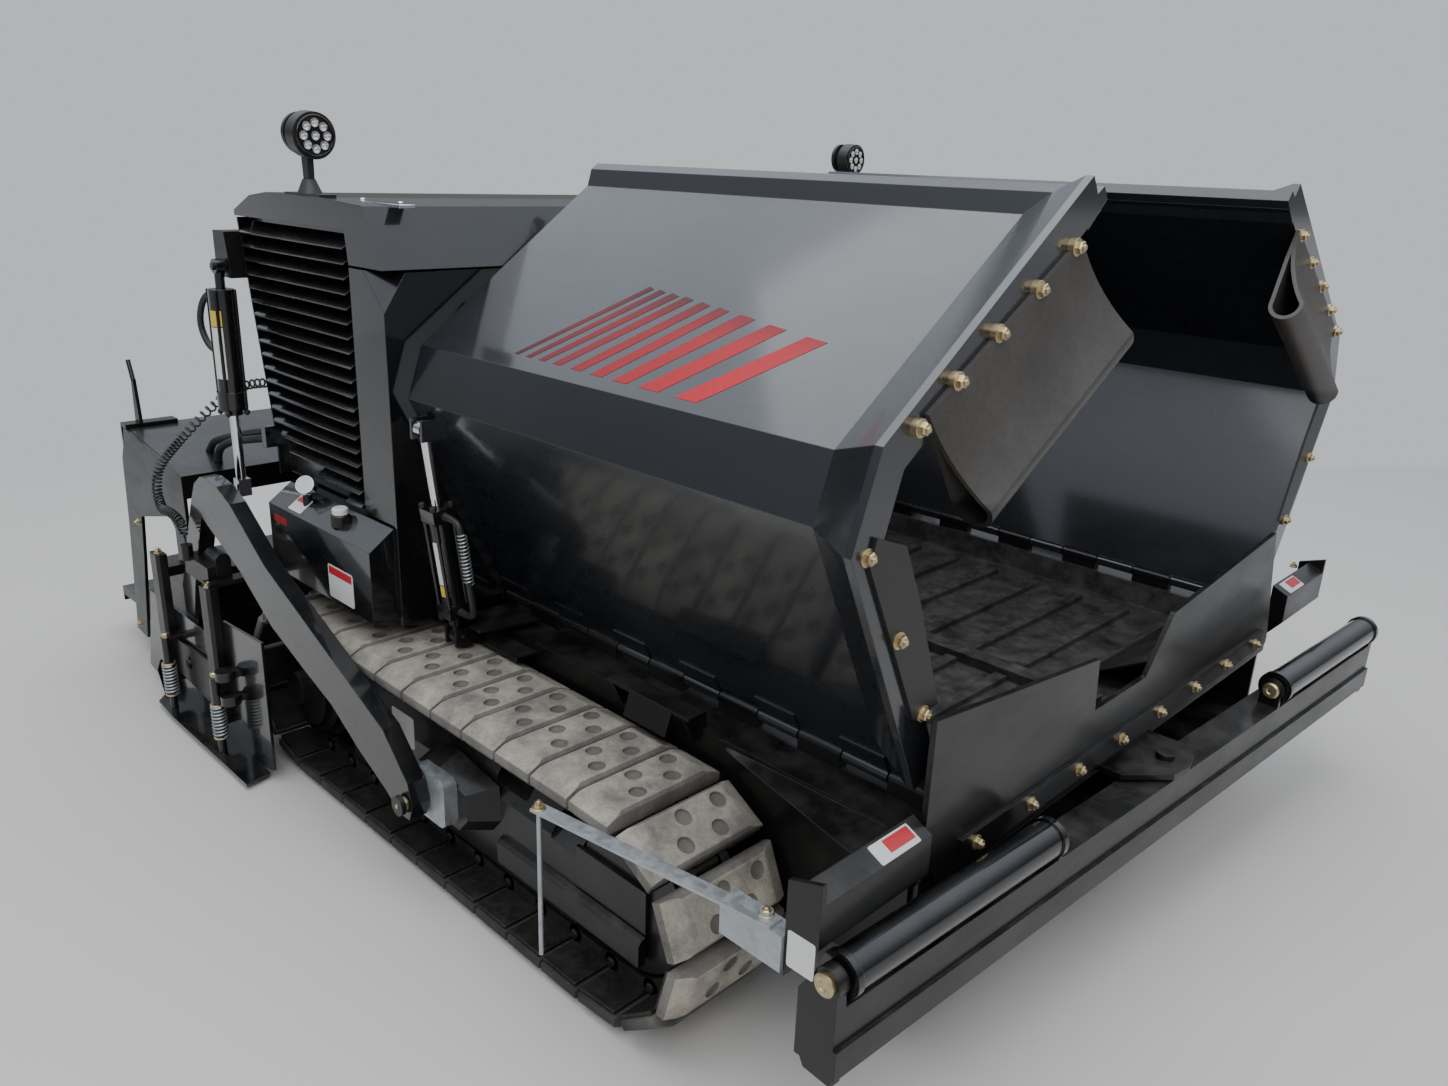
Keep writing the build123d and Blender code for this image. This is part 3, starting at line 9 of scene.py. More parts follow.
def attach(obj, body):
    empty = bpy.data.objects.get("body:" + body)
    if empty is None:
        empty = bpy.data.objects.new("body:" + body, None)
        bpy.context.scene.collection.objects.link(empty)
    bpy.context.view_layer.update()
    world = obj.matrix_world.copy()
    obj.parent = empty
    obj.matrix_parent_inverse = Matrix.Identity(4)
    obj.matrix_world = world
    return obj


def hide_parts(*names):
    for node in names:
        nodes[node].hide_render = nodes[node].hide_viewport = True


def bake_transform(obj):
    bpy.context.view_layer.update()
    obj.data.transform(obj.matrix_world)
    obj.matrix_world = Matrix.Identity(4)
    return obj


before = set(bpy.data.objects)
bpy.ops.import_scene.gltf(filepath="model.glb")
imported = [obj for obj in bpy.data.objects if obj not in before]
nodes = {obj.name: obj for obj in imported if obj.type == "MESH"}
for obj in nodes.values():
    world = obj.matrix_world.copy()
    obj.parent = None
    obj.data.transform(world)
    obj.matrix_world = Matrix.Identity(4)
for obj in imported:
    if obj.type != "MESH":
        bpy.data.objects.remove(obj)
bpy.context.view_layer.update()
random.seed(11)

# Metres, +X forward to the hopper, +Y to the machine's left, +Z up.
SIDES = (("left", 1), ("right", -1))
FORWARD, UP, DOWN = (1, 0, 0), (0, 0, 1), (0, 0, -1)
SMOOTH_BELOW = math.radians(32)     # faces meeting at less than this are shaded as one surface


def linked(name, data):
    """Object with this data, in the scene."""
    thing = bpy.data.objects.new(name, data)
    bpy.context.scene.collection.objects.link(thing)
    return thing


# ---------------------------------------------------------------- camera
def add_camera():
    data = bpy.data.cameras.new("camera")
    data.lens = 27.63
    data.sensor_width = 36
    data.clip_end = 200
    camera = linked("camera", data)
    camera.location = (2.4067, -2.3426, 1.6761)
    camera.rotation_euler = [math.radians(angle) for angle in (71.091, -2.115, 44.623)]
    bpy.context.scene.camera = camera


add_camera()


# ---------------------------------------------------------------- shader helpers
def new_material(name):
    mat = bpy.data.materials.new(name)
    mat.use_nodes = True
    tree = mat.node_tree
    return mat, tree, tree.nodes["Principled BSDF"]


def link(tree, source, target):
    tree.links.new(source, target)


def grey(value):
    return (value, value, value)


def scaled(colour, by):
    return tuple(by * part for part in colour)


def object_coords(tree):
    return tree.nodes.new("ShaderNodeTexCoord").outputs["Object"]


def part_of(tree, vector, axis):
    """X, Y or Z of a vector."""
    split = tree.nodes.new("ShaderNodeSeparateXYZ")
    link(tree, vector, split.inputs["Vector"])
    return split.outputs[axis]


def share_between(tree, value, low, high):
    """0 up to low, 1 from high on."""
    node = tree.nodes.new("ShaderNodeMapRange")
    node.inputs["From Min"].default_value = low
    node.inputs["From Max"].default_value = high
    link(tree, value, node.inputs["Value"])
    return node.outputs["Result"]


def height_share(tree, low, high):
    """0 below low, 1 above high, by the height of the surface above the ground."""
    return share_between(tree, part_of(tree, object_coords(tree), "Z"), low, high)


def upward(tree):
    """Share by which the surface faces up, for dust that has settled."""
    normal = tree.nodes.new("ShaderNodeNewGeometry").outputs["Normal"]
    return share_between(tree, part_of(tree, normal, "Z"), 0.3, 1.0)


def noise(tree, scale, detail=4.0, rough=0.55, stretch=(1, 1, 1)):
    """Noise texture in object space; returns its grey output."""
    mapping = tree.nodes.new("ShaderNodeMapping")
    mapping.inputs["Scale"].default_value = stretch
    link(tree, object_coords(tree), mapping.inputs["Vector"])
    node = tree.nodes.new("ShaderNodeTexNoise")
    node.inputs["Scale"].default_value = scale
    node.inputs["Detail"].default_value = detail
    node.inputs["Roughness"].default_value = rough
    link(tree, mapping.outputs["Vector"], node.inputs["Vector"])
    return node.outputs["Fac"]


def ramp(tree, value, stops):
    """Colour ramp with stops of (position, colour)."""
    node = tree.nodes.new("ShaderNodeValToRGB")
    while len(node.color_ramp.elements) < len(stops):
        node.color_ramp.elements.new(0.5)
    for element, (position, colour) in zip(node.color_ramp.elements, stops):
        element.position = position
        element.color = (*colour, 1)
    link(tree, value, node.inputs["Fac"])
    return node.outputs["Color"]


def mix(tree, share, first, second, kind="MIX"):
    node = tree.nodes.new("ShaderNodeMix")
    node.data_type = "RGBA"
    node.blend_type = kind
    sockets = {"Factor": node.inputs[0], "A": node.inputs[6], "B": node.inputs[7]}
    for key, value in (("Factor", share), ("A", first), ("B", second)):
        if isinstance(value, bpy.types.NodeSocket):
            link(tree, value, sockets[key])
        elif key == "Factor":
            sockets[key].default_value = value
        else:
            sockets[key].default_value = (*value, 1)
    return node.outputs[2]


def mix_shaders(tree, share, first, second):
    node = tree.nodes.new("ShaderNodeMixShader")
    for socket, source in zip(node.inputs, (share, first, second)):
        link(tree, source, socket)
    return node.outputs[0]


def multiply(tree, first, second):
    node = tree.nodes.new("ShaderNodeMath")
    node.operation = "MULTIPLY"
    for socket, value in zip(node.inputs, (first, second)):
        if isinstance(value, bpy.types.NodeSocket):
            link(tree, value, socket)
        else:
            socket.default_value = value
    return node.outputs[0]


def bump(tree, shader, height, strength, distance, edge=0.0):
    """Surface relief, with edges rounded by edge metres in the shading."""
    node = tree.nodes.new("ShaderNodeBump")
    node.inputs["Strength"].default_value = strength
    node.inputs["Distance"].default_value = distance
    link(tree, height, node.inputs["Height"])
    if edge:
        rounded = tree.nodes.new("ShaderNodeBevel")
        rounded.samples = 4
        rounded.inputs["Radius"].default_value = edge
        link(tree, rounded.outputs["Normal"], node.inputs["Normal"])
        link(tree, rounded.outputs["Normal"], shader.inputs["Coat Normal"])
    link(tree, node.outputs["Normal"], shader.inputs["Normal"])


# ---------------------------------------------------------------- kinds of surface
ROAD_DUST = (0.28, 0.26, 0.23)


def paint(name, colour, rough, dust, peel, coat, coat_rough):
    """Sprayed enamel: faint orange peel, cloudy gloss and a little road dust, more of it low down."""
    mat, tree, shader = new_material(name)
    tone = ramp(tree, noise(tree, 2.3, 5), [(0.3, scaled(colour, 0.8)), (0.7, scaled(colour, 1.25))])
    specks = ramp(tree, noise(tree, 9, 8, 0.7), [(0.42, grey(0)), (0.68, grey(1))])
    low_down = ramp(tree, height_share(tree, 0.0, 1.0), [(0, grey(1)), (0.7, grey(0.25))])
    share = multiply(tree, multiply(tree, specks, low_down), multiply(tree, upward(tree), dust))
    link(tree, mix(tree, share, tone, ROAD_DUST), shader.inputs["Base Color"])
    smear = noise(tree, 4.2, 6, 0.65, (1, 1, 2.5))
    link(tree, ramp(tree, smear, [(0.3, grey(rough[0])), (0.72, grey(rough[1]))]), shader.inputs["Roughness"])
    shader.inputs["Coat Weight"].default_value = coat
    shader.inputs["Specular IOR Level"].default_value = 0.25
    shader.inputs["Coat Roughness"].default_value = coat_rough
    bump(tree, shader, noise(tree, 420, 2), peel, 0.0004, 0.0022)
    return mat


def bare_metal(name, colour, metallic, rough, stain, scale=30, depth=0.15):
    """Metal in two tones, with its roughness and relief in finer grain than its stains."""
    mat, tree, shader = new_material(name)
    tone = ramp(tree, noise(tree, scale, 6, 0.7), [(0.32, stain), (0.62, colour)])
    link(tree, tone, shader.inputs["Base Color"])
    smear = noise(tree, scale * 2.2, 5)
    link(tree, ramp(tree, smear, [(0.3, grey(rough[0])), (0.7, grey(rough[1]))]), shader.inputs["Roughness"])
    shader.inputs["Metallic"].default_value = metallic
    bump(tree, shader, noise(tree, scale * 6, 4), depth, 0.001)
    return mat


def rubber(name, rough, scales, depth, low, high=None, heights=None):
    """Blotchy rubber with grit; scales are the blotches', the grit's and the relief's.

    With heights, low is its colour below them and high its colour above.
    """
    blotch_scale, grit_scale, relief_scale = scales
    mat, tree, shader = new_material(name)
    patches = noise(tree, blotch_scale, 8, 0.7)
    colour = ramp(tree, patches, low)
    if heights:
        colour = mix(tree, height_share(tree, *heights), colour, ramp(tree, patches, high))
    grit = ramp(tree, noise(tree, grit_scale, 5, 0.75), [(0.3, grey(0.72)), (0.7, grey(1.0))])
    link(tree, mix(tree, 1.0, colour, grit, "MULTIPLY"), shader.inputs["Base Color"])
    shader.inputs["Roughness"].default_value = rough
    bump(tree, shader, noise(tree, relief_scale, 6, 0.7), depth, 0.0015)
    return mat


def pad_look(name, high_dark, high_pale, painted_shade_dark, painted_shade_pale):
    """Track pad: pale with dust on the upper run; the lower run near the ground is darker, which is painted
    shade under the machine.
    """
    return rubber(name, 0.85, (9, 170, 210), 0.3, [(0.40, painted_shade_dark), (0.70, painted_shade_pale)],
                  [(0.36, high_dark), (0.62, high_pale)], (0.05, 0.16))


def flat_sheen(name, colour, rough):
    """Printed film, glass or plastic: an even colour with fine grain."""
    mat, tree, shader = new_material(name)
    tone = ramp(tree, noise(tree, 60, 3), [(0.2, scaled(colour, 0.92)), (0.8, colour)])
    link(tree, tone, shader.inputs["Base Color"])
    shader.inputs["Roughness"].default_value = rough
    return mat


def stripe_look():
    """Red stripe film that fades into the black towards its top and towards the rear."""
    mat, tree, shader = new_material("stripe film")
    coords = object_coords(tree)
    forward = share_between(tree, part_of(tree, coords, "X"), 0.38, 1.02)
    upwards = share_between(tree, part_of(tree, coords, "Z"), 1.26, 1.42)
    by_length = ramp(tree, forward, [(0.0, grey(0.0)), (0.35, grey(0.45)), (1.0, grey(1.0))])
    by_height = ramp(tree, upwards, [(0.0, grey(1.0)), (0.6, grey(0.8)), (1.0, grey(0.18))])
    share = mix(tree, 1.0, by_length, by_height, "MULTIPLY")
    wear = ramp(tree, noise(tree, 90, 4), [(0.3, grey(0.85)), (0.7, grey(1.0))])
    worn = mix(tree, 1.0, share, wear, "MULTIPLY")
    link(tree, mix(tree, worn, (0.012, 0.011, 0.012), (0.62, 0.018, 0.03)), shader.inputs["Base Color"])
    shader.inputs["Roughness"].default_value = 0.3
    shader.inputs["Specular IOR Level"].default_value = 0.2
    return mat


# ---------------------------------------------------------------- floor and light
BACKDROP_TONE = (0.615, 0.635, 0.675)
STAGE_REACH = 60


def stage_material(name, base, seen=None):
    """Plain matt surface; with seen, the camera and reflections get that even tone instead."""
    mat, tree, shader = new_material(name)
    shader.inputs["Base Color"].default_value = (*base, 1)
    shader.inputs["Roughness"].default_value = 0.9
    if not seen:
        return mat
    tree.nodes.remove(shader)
    path = tree.nodes.new("ShaderNodeLightPath")
    either = tree.nodes.new("ShaderNodeMath")
    either.operation = "MAXIMUM"
    link(tree, path.outputs["Is Camera Ray"], either.inputs[0])
    link(tree, path.outputs["Is Glossy Ray"], either.inputs[1])
    plain = tree.nodes.new("ShaderNodeBsdfDiffuse")
    plain.inputs["Color"].default_value = (*base, 1)
    glow = tree.nodes.new("ShaderNodeEmission")
    glow.inputs["Color"].default_value = (*seen, 1)
    joined = mix_shaders(tree, either.outputs[0], plain.outputs[0], glow.outputs[0])
    link(tree, joined, tree.nodes["Material Output"].inputs["Surface"])
    return mat


def plane_piece(name, corners, material):
    mesh = bpy.data.meshes.new(name)
    mesh.from_pydata([tuple(corner) for corner in corners], [], [(0, 1, 2, 3)])
    mesh.materials.append(material)
    thing = linked(name, mesh)


def add_stage():
    """Floor up to the backdrop's foot, and a far floor in the backdrop's tone, which blocks no view."""
    foot = Vector((-1.95, 2.16, 0))
    along = Vector((0.61, 0.793, 0)) * STAGE_REACH
    away = Vector((-0.793, 0.61, 0)) * STAGE_REACH
    one_end, other_end = foot - along, foot + along
    floor = stage_material("floor", (0.70, 0.675, 0.64))
    plane_piece("floor", (one_end - away, other_end - away, other_end, one_end), floor)
    far_floor = stage_material("backdrop", (0.5, 0.51, 0.53), BACKDROP_TONE)
    plane_piece("backdrop", (one_end, other_end, other_end + away, one_end + away), far_floor)


def area_light(name, location, aim, size, power, colour):
    data = bpy.data.lights.new(name, "AREA")
    data.shape = "RECTANGLE"
    data.size, data.size_y = size
    data.energy = power
    data.color = colour
    lamp = linked(name, data)
    lamp.location = location
    lamp.rotation_euler = (Vector(aim) - Vector(location)).to_track_quat("-Z", "Y").to_euler()


def add_light():
    """Sky that lights, a stronger one for reflections, an even tone for the camera, and two soft lamps."""
    world = bpy.data.worlds.new("world")
    bpy.context.scene.world = world
    world.use_nodes = True
    tree = world.node_tree
    height = part_of(tree, tree.nodes.new("ShaderNodeTexCoord").outputs["Generated"], "Z")
    lighting = tree.nodes["Background"]
    lighting.inputs["Strength"].default_value = 0.8
    sky = ramp(tree, height, [(0.0, (0.30, 0.29, 0.28)), (0.12, (0.42, 0.44, 0.47)),
                              (0.5, (0.62, 0.68, 0.78)), (1.0, (0.95, 1.0, 1.1))])
    link(tree, sky, lighting.inputs["Color"])
    mirrored = tree.nodes.new("ShaderNodeBackground")
    mirrored_sky = ramp(tree, height, [(0.0, (0.10, 0.095, 0.09)), (0.10, (0.17, 0.17, 0.17)),
                                       (0.35, (0.48, 0.52, 0.58)), (0.65, (1.25, 1.36, 1.52)),
                                       (1.0, (1.7, 1.8, 1.95))])
    link(tree, mirrored_sky, mirrored.inputs["Color"])
    seen = tree.nodes.new("ShaderNodeBackground")
    seen.inputs["Color"].default_value = (*BACKDROP_TONE, 1)
    path = tree.nodes.new("ShaderNodeLightPath")
    joined = mix_shaders(tree, path.outputs["Is Glossy Ray"], lighting.outputs[0], mirrored.outputs[0])
    finished = mix_shaders(tree, path.outputs["Is Camera Ray"], joined, seen.outputs[0])
    link(tree, finished, tree.nodes["World Output"].inputs["Surface"])
    area_light("overhead", (0.5, -0.8, 6.5), (0, 0, 0.5), (7, 7), 260, (0.95, 0.98, 1.0))
    area_light("key", (4.5, -4.5, 5.0), (0, 0, 0.8), (4, 3), 120, (1.0, 0.98, 0.95))


add_stage()
add_light()


# ---------------------------------------------------------------- mesh helpers
def bar_turn(axis):
    """Rotation that turns +Z onto axis."""
    return Vector(UP).rotation_difference(Vector(axis).normalized()).to_matrix()


def skin(bm, rings):
    """Closed solid over rings of vertices: a cap at each end and strips between."""
    bm.faces.new(rings[0][::-1])
    bm.faces.new(rings[-1])
    for low, high in zip(rings, rings[1:]):
        for index in range(len(low)):
            after = (index + 1) % len(low)
            bm.faces.new((low[index], low[after], high[after], high[index]))


def turned(bm, start, axis, rows, sides=24, spin=0.0):
    """Lathe closed at both ends, from rows of (distance along axis, radius)."""
    turn = bar_turn(axis)
    angles = [spin + 2 * math.pi * index / sides for index in range(sides)]
    rings = []
    for along, radius in rows:
        ring = [Vector((radius * math.cos(angle), radius * math.sin(angle), along)) for angle in angles]
        rings.append([bm.verts.new(Vector(start) + turn @ point) for point in ring])
    skin(bm, rings)


def prism(bm, lows, highs):
    """Solid between two outlines with the same number of points."""
    skin(bm, [[bm.verts.new(point) for point in outline] for outline in (lows, highs)])


def box(bm, x, y, z):
    """Box between (low, high) pairs."""
    corners = [(x[0], y[0]), (x[1], y[0]), (x[1], y[1]), (x[0], y[1])]
    prism(bm, [(*c, z[0]) for c in corners], [(*c, z[1]) for c in corners])


def loose_object(name, bm):
    """Object from a bmesh, its faces turned outwards."""
    bmesh.ops.recalc_face_normals(bm, faces=bm.faces[:])
    mesh = bpy.data.meshes.new(name)
    bm.to_mesh(mesh)
    bm.free()
    return linked(name, mesh)


def round_edges(thing, width, angle):
    rounding = thing.modifiers.new("edges", "BEVEL")
    rounding.width = width
    rounding.segments = 2
    rounding.limit_method = "ANGLE"
    rounding.angle_limit = angle


def piece(name, bm, looks, body, edge=0.0):
    """Object from a bmesh, with its look, body and rounded edges."""
    thing = loose_object(name, bm)
    thing.data.shade_smooth()
    thing.data.set_sharp_from_angle(angle=SMOOTH_BELOW)
    for look in looks if isinstance(looks, list) else [looks]:
        thing.data.materials.append(look)
    if edge:
        round_edges(thing, edge, SMOOTH_BELOW)
    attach(thing, body)
    return thing


def evaluated_mesh(thing):
    """Mesh of an object as its modifiers or its curve make it."""
    bpy.context.view_layer.update()
    return bpy.data.meshes.new_from_object(thing.evaluated_get(bpy.context.evaluated_depsgraph_get()))


def curve_piece(name, points, radius, look, steps=12, sides=3):
    """Smooth NURBS tube with the points as its control points."""
    data = bpy.data.curves.new(name, "CURVE")
    data.dimensions = "3D"
    data.resolution_u = steps
    data.bevel_depth = radius
    data.bevel_resolution = sides
    data.use_fill_caps = True
    spline = data.splines.new("NURBS")
    spline.points.add(len(points) - 1)
    for point, place in zip(spline.points, points):
        point.co = (*place, 1)
    spline.order_u = 3
    spline.use_endpoint_u = True
    data.materials.append(look)
    return linked(name, data)


def middle_line(curve):
    """Points along the middle of a tube from curve_piece, which is then removed."""
    data = curve.data
    data.bevel_depth = 0
    line = evaluated_mesh(curve)
    points = [vertex.co.copy() for vertex in line.vertices]
    bpy.data.objects.remove(curve)
    bpy.data.curves.remove(data)
    bpy.data.meshes.remove(line)
    return points


def tube_mesh(name, points, radius, look, steps=12, sides=3):
    """Mesh of the tube round a route's smooth line, and the points of that line."""
    curve = curve_piece(name + "_line", points, radius, look, steps, sides)
    mesh = evaluated_mesh(curve)
    mesh.shade_smooth()
    return linked(name, mesh), middle_line(curve)


def helix(line, radius, steps, pitch_at, lead):
    """Points of a helix round a line, with a plain lead at each end.

    pitch_at gives the pitch by the share of the line's length. The coil opens from an eighth of its
    radius over its first turn, and closes again over its last 14 mm.
    """
    total = sum((b - a).length for a, b in zip(line, line[1:]))
    points = [line[0].copy()]
    side = (line[1] - line[0]).orthogonal().normalized()
    travelled, angle, due = 0.0, 0.0, lead
    for a, b in zip(line, line[1:]):
        along = (b - a).normalized()
        side = (side - along * side.dot(along)).normalized()
        over = along.cross(side)
        run = (b - a).length
        while due <= travelled + run and due <= total - lead:
            middle = a + along * (due - travelled)
            reach = radius * min(1, 0.12 + angle / 7, 0.12 + (total - lead - due) / 0.016)
            points.append(middle + reach * (math.cos(angle) * side + math.sin(angle) * over))
            angle += 2 * math.pi / steps
            due += pitch_at(due / total) / steps
        travelled += run
    points.append(line[-1].copy())
    return points


# ---------------------------------------------------------------- materials
gloss = paint("gloss black enamel", (0.006, 0.0062, 0.007), (0.16, 0.34),
              dust=0.12, peel=0.04, coat=0.9, coat_rough=0.07)
satin = paint("satin black enamel", (0.0065, 0.0062, 0.006), (0.3, 0.5),
              dust=0.3, peel=0.08, coat=0.4, coat_rough=0.16)
wing_paint = paint("wing enamel", (0.0115, 0.0130, 0.0165), (0.2, 0.36),
                   dust=0.1, peel=0.03, coat=1.0, coat_rough=0.10)
floor_steel = bare_metal("worn hopper floor", (0.105, 0.100, 0.096), 0.45, (0.35, 0.6), grey(0.022), 14)
steel = bare_metal("worn steel", (0.30, 0.29, 0.28), 0.9, (0.3, 0.55), (0.12, 0.11, 0.10))
chain_steel = bare_metal("track chain steel", (0.05, 0.046, 0.042), 0.6, (0.4, 0.65),
                         (0.02, 0.018, 0.016), 25, 0.3)
chrome = bare_metal("chrome rod", (0.75, 0.75, 0.77), 1.0, (0.06, 0.14), (0.7, 0.7, 0.72), 50, 0.02)
gold_zinc = bare_metal("yellow zinc", (0.62, 0.50, 0.30), 0.9, (0.25, 0.45), (0.45, 0.37, 0.22), 60, 0.1)
white_zinc = bare_metal("white zinc", (0.50, 0.53, 0.545), 0.75, (0.35, 0.6), (0.36, 0.39, 0.40), 26, 0.1)
cast = bare_metal("cast parts", grey(0.03), 0.3, (0.45, 0.65), grey(0.018), 40, 0.4)
reflector = bare_metal("lamp reflector", (0.85, 0.86, 0.88), 0.9, (0.1, 0.2), (0.7, 0.72, 0.75), 80, 0.02)
lamp_plastic = flat_sheen("lamp plastic", (0.02, 0.02, 0.021), 0.35)
red_film = flat_sheen("red film", (0.60, 0.022, 0.035), 0.3)
white_film = flat_sheen("white film", (0.78, 0.78, 0.76), 0.35)
yellow_film = flat_sheen("yellow film", (0.75, 0.55, 0.06), 0.35)
lens_white = flat_sheen("lamp face", (0.80, 0.81, 0.83), 0.2)
led_yellow = flat_sheen("lamp diode", (0.80, 0.72, 0.40), 0.3)
clear_dial = flat_sheen("dial face", (0.75, 0.74, 0.72), 0.15)
stripe_film = stripe_look()
hose_rubber = rubber("hose rubber", 0.45, (20, 360, 600), 0.1,
                     [(0.3, (0.016, 0.016, 0.017)), (0.7, (0.03, 0.03, 0.031))])
# The strips that hang below the folded loops are darker than the loops above them.
flap_rubber = rubber("flap rubber", 0.42, (5, 90, 150), 0.12,
                     [(0.3, (0.012, 0.012, 0.012)), (0.7, (0.022, 0.021, 0.020))],
                     [(0.3, (0.050, 0.045, 0.041)), (0.7, (0.085, 0.077, 0.068))], (1.165, 1.185))
# The last two colours of each pad look are the lower run's painted shade.
pad_top = pad_look("pad top", (0.21, 0.198, 0.175), (0.52, 0.475, 0.395),
                   (0.045, 0.042, 0.039), (0.11, 0.10, 0.09))
pad_side = pad_look("pad side", (0.13, 0.12, 0.108), (0.25, 0.235, 0.21),
                    (0.028, 0.026, 0.024), (0.07, 0.065, 0.06))
pad_hole = pad_look("pad hole", (0.13, 0.12, 0.104), (0.22, 0.205, 0.178),
                    (0.02, 0.019, 0.018), (0.05, 0.046, 0.042))

# ---------------------------------------------------------------- cords and hoses
# The routes repeat the control points of part.py, in metres, as (x, distance outwards, z).
CURLY_ROUTE = ((-0.632, 1.020, 1.046), (-0.740, 1.032, 1.038), (-0.850, 1.085, 0.978), (-0.960, 1.176, 0.842),
               (-1.012, 1.238, 0.745), (-0.940, 1.258, 0.650), (-0.850, 1.262, 0.668), (-0.760, 1.260, 0.648),
               (-0.760, 1.260, 0.590))
UPPER_HOSE = ((-0.600, 1.050, 0.922), (-0.685, 1.050, 0.903), (-0.770, 1.050, 0.882), (-0.850, 1.050, 0.860),
              (-0.925, 1.050, 0.841), (-0.985, 1.050, 0.822), (-1.036, 1.050, 0.803), (-1.060, 1.050, 0.778))
LOWER_HOSE = ((-0.600, 1.068, 0.904), (-0.680, 1.068, 0.886), (-0.757, 1.067, 0.867), (-0.828, 1.066, 0.851),
              (-0.884, 1.066, 0.833), (-0.932, 1.066, 0.812), (-0.962, 1.066, 0.786), (-0.966, 1.066, 0.766))
LIFT_HOSE = ((-0.7486, 1.110, 1.285), (-0.7866, 1.110, 1.286), (-0.8206, 1.120, 1.251),
             (-0.8366, 1.124, 1.195), (-0.8146, 1.118, 1.143), (-0.7826, 1.110, 1.124),
             (-0.7486, 1.110, 1.123))
COIL_RADIUS, COIL_STEPS, COIL_LEAD = 0.0119, 12, 0.022
OPEN_PITCH, CLOSE_PITCH = 0.0240, 0.0118


def on_side(route, sign):
    return [(x, sign * out, z) for x, out, z in route]


def curly_pitch(share):
    """Pitch of the coil: stretched in its upper part, and closing from there to its lower end."""
    return max(CLOSE_PITCH, OPEN_PITCH - 0.16 * max(0, share - 0.42))


def add_curly_cord():
    line = middle_line(curve_piece("route_guide", on_side(CURLY_ROUTE, -1), 0, hose_rubber))
    points = helix(line, COIL_RADIUS, COIL_STEPS, curly_pitch, COIL_LEAD)
    cord, path = tube_mesh("coiled_control_cable", points, 0.0029, hose_rubber, 2, 2)
    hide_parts("coiled_cord")
    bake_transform(cord)


def add_pair_hose(name, route, node):
    points = on_side(route, -1)
    hose, path = tube_mesh(name, points, 0.0115, hose_rubber)
    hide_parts(node)
    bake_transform(hose)


def add_lift_hose(side, sign):
    points = on_side(LIFT_HOSE, sign)
    hose = curve_piece("lift_cylinder_hose_" + side, points, 0.009, hose_rubber)
    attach(hose, "lift_barrel_" + side)
    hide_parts("lift_hose_" + side)


add_curly_cord()
add_pair_hose("deck_hose_upper", UPPER_HOSE, "screed_hose_upper")
add_pair_hose("deck_hose_lower", LOWER_HOSE, "screed_hose_lower")
for side, sign in SIDES:
    add_lift_hose(side, sign)

# ---------------------------------------------------------------- CAD nodes' looks
NODE_LOOKS = {
    satin: ("chassis_frame", "roller_frames", "running_wheels", "hopper_back", "front_apron", "bumper_beam",
            "screed_body", "gate_guides", "lift_brackets", "auger_hanger", "wing_hinges"),
    wing_paint: ("wing_left", "wing_right"),
    gloss: ("hood_lid", "louvres", "side_tanks", "tow_arms", "end_gate_left", "engine_house",
            "end_gate_right", "push_roller_left", "push_roller_right", "wing_barrel_left",
            "wing_barrel_right", "lift_barrel_left", "lift_barrel_right"),
    floor_steel: ("hopper_floor", "conveyor"),
    steel: ("auger_left", "auger_right"),
    chrome: ("wing_rod_left", "wing_rod_right", "lift_rod_left", "lift_rod_right"),
    white_zinc: ("steering_guide", "guide_bar", "tow_blocks"),
    cast: ("engine",),
    flap_rubber: ("wing_flaps_left", "wing_flaps_right"),
    lamp_plastic: ("work_lamps",),
}
for look, names in NODE_LOOKS.items():
    for name in names:
        nodes[name].data.materials.clear()
        nodes[name].data.materials.append(look)

# ---------------------------------------------------------------- tracks
SHOES, PITCH, PITCH_RADIUS = 31, 0.1245, 0.190
SPROCKET_X, WHEEL_Z, TRACK_Y = -0.358, 0.252, 1.0275
WHEEL_BASE = (SHOES * PITCH - 2 * math.pi * PITCH_RADIUS) / 2
IDLER_X = SPROCKET_X + WHEEL_BASE
# Of one shoe, about its middle and above the pins' line.
PAD_HALF = 0.05875          # half a pad's length along the track
PAD_WIDE = 0.1525           # half its width
PAD_LOW, PAD_HIGH = 0.022, 0.062
HOLES = ((-0.036, -0.0945), (-0.036, 0.0), (0.016, -0.058), (0.016, 0.034))
PLATE_REAR, PLATE_FRONT, PLATE_WIDE, PLATE_LOW = -0.050, 0.060, 0.1455, 0.0125
LINK_ROWS = (-0.045, 0.045)
LINK_HALF = 0.011           # half a link's thickness
BOSS = 0.0205               # radius of a link's boss


def chain_pin(index):
    """Pin of the chain, (x, z), counted forward from above the sprocket."""
    arc = math.pi * PITCH_RADIUS
    way = (index * PITCH) % (2 * WHEEL_BASE + 2 * arc)
    if way < WHEEL_BASE:
        return SPROCKET_X + way, WHEEL_Z + PITCH_RADIUS
    if way < WHEEL_BASE + arc:
        turn = math.pi / 2 - (way - WHEEL_BASE) / PITCH_RADIUS
        return IDLER_X + PITCH_RADIUS * math.cos(turn), WHEEL_Z + PITCH_RADIUS * math.sin(turn)
    way -= WHEEL_BASE + arc
    if way < WHEEL_BASE:
        return IDLER_X - way, WHEEL_Z - PITCH_RADIUS
    turn = -math.pi / 2 - (way - WHEEL_BASE) / PITCH_RADIUS
    return SPROCKET_X + PITCH_RADIUS * math.cos(turn), WHEEL_Z + PITCH_RADIUS * math.sin(turn)


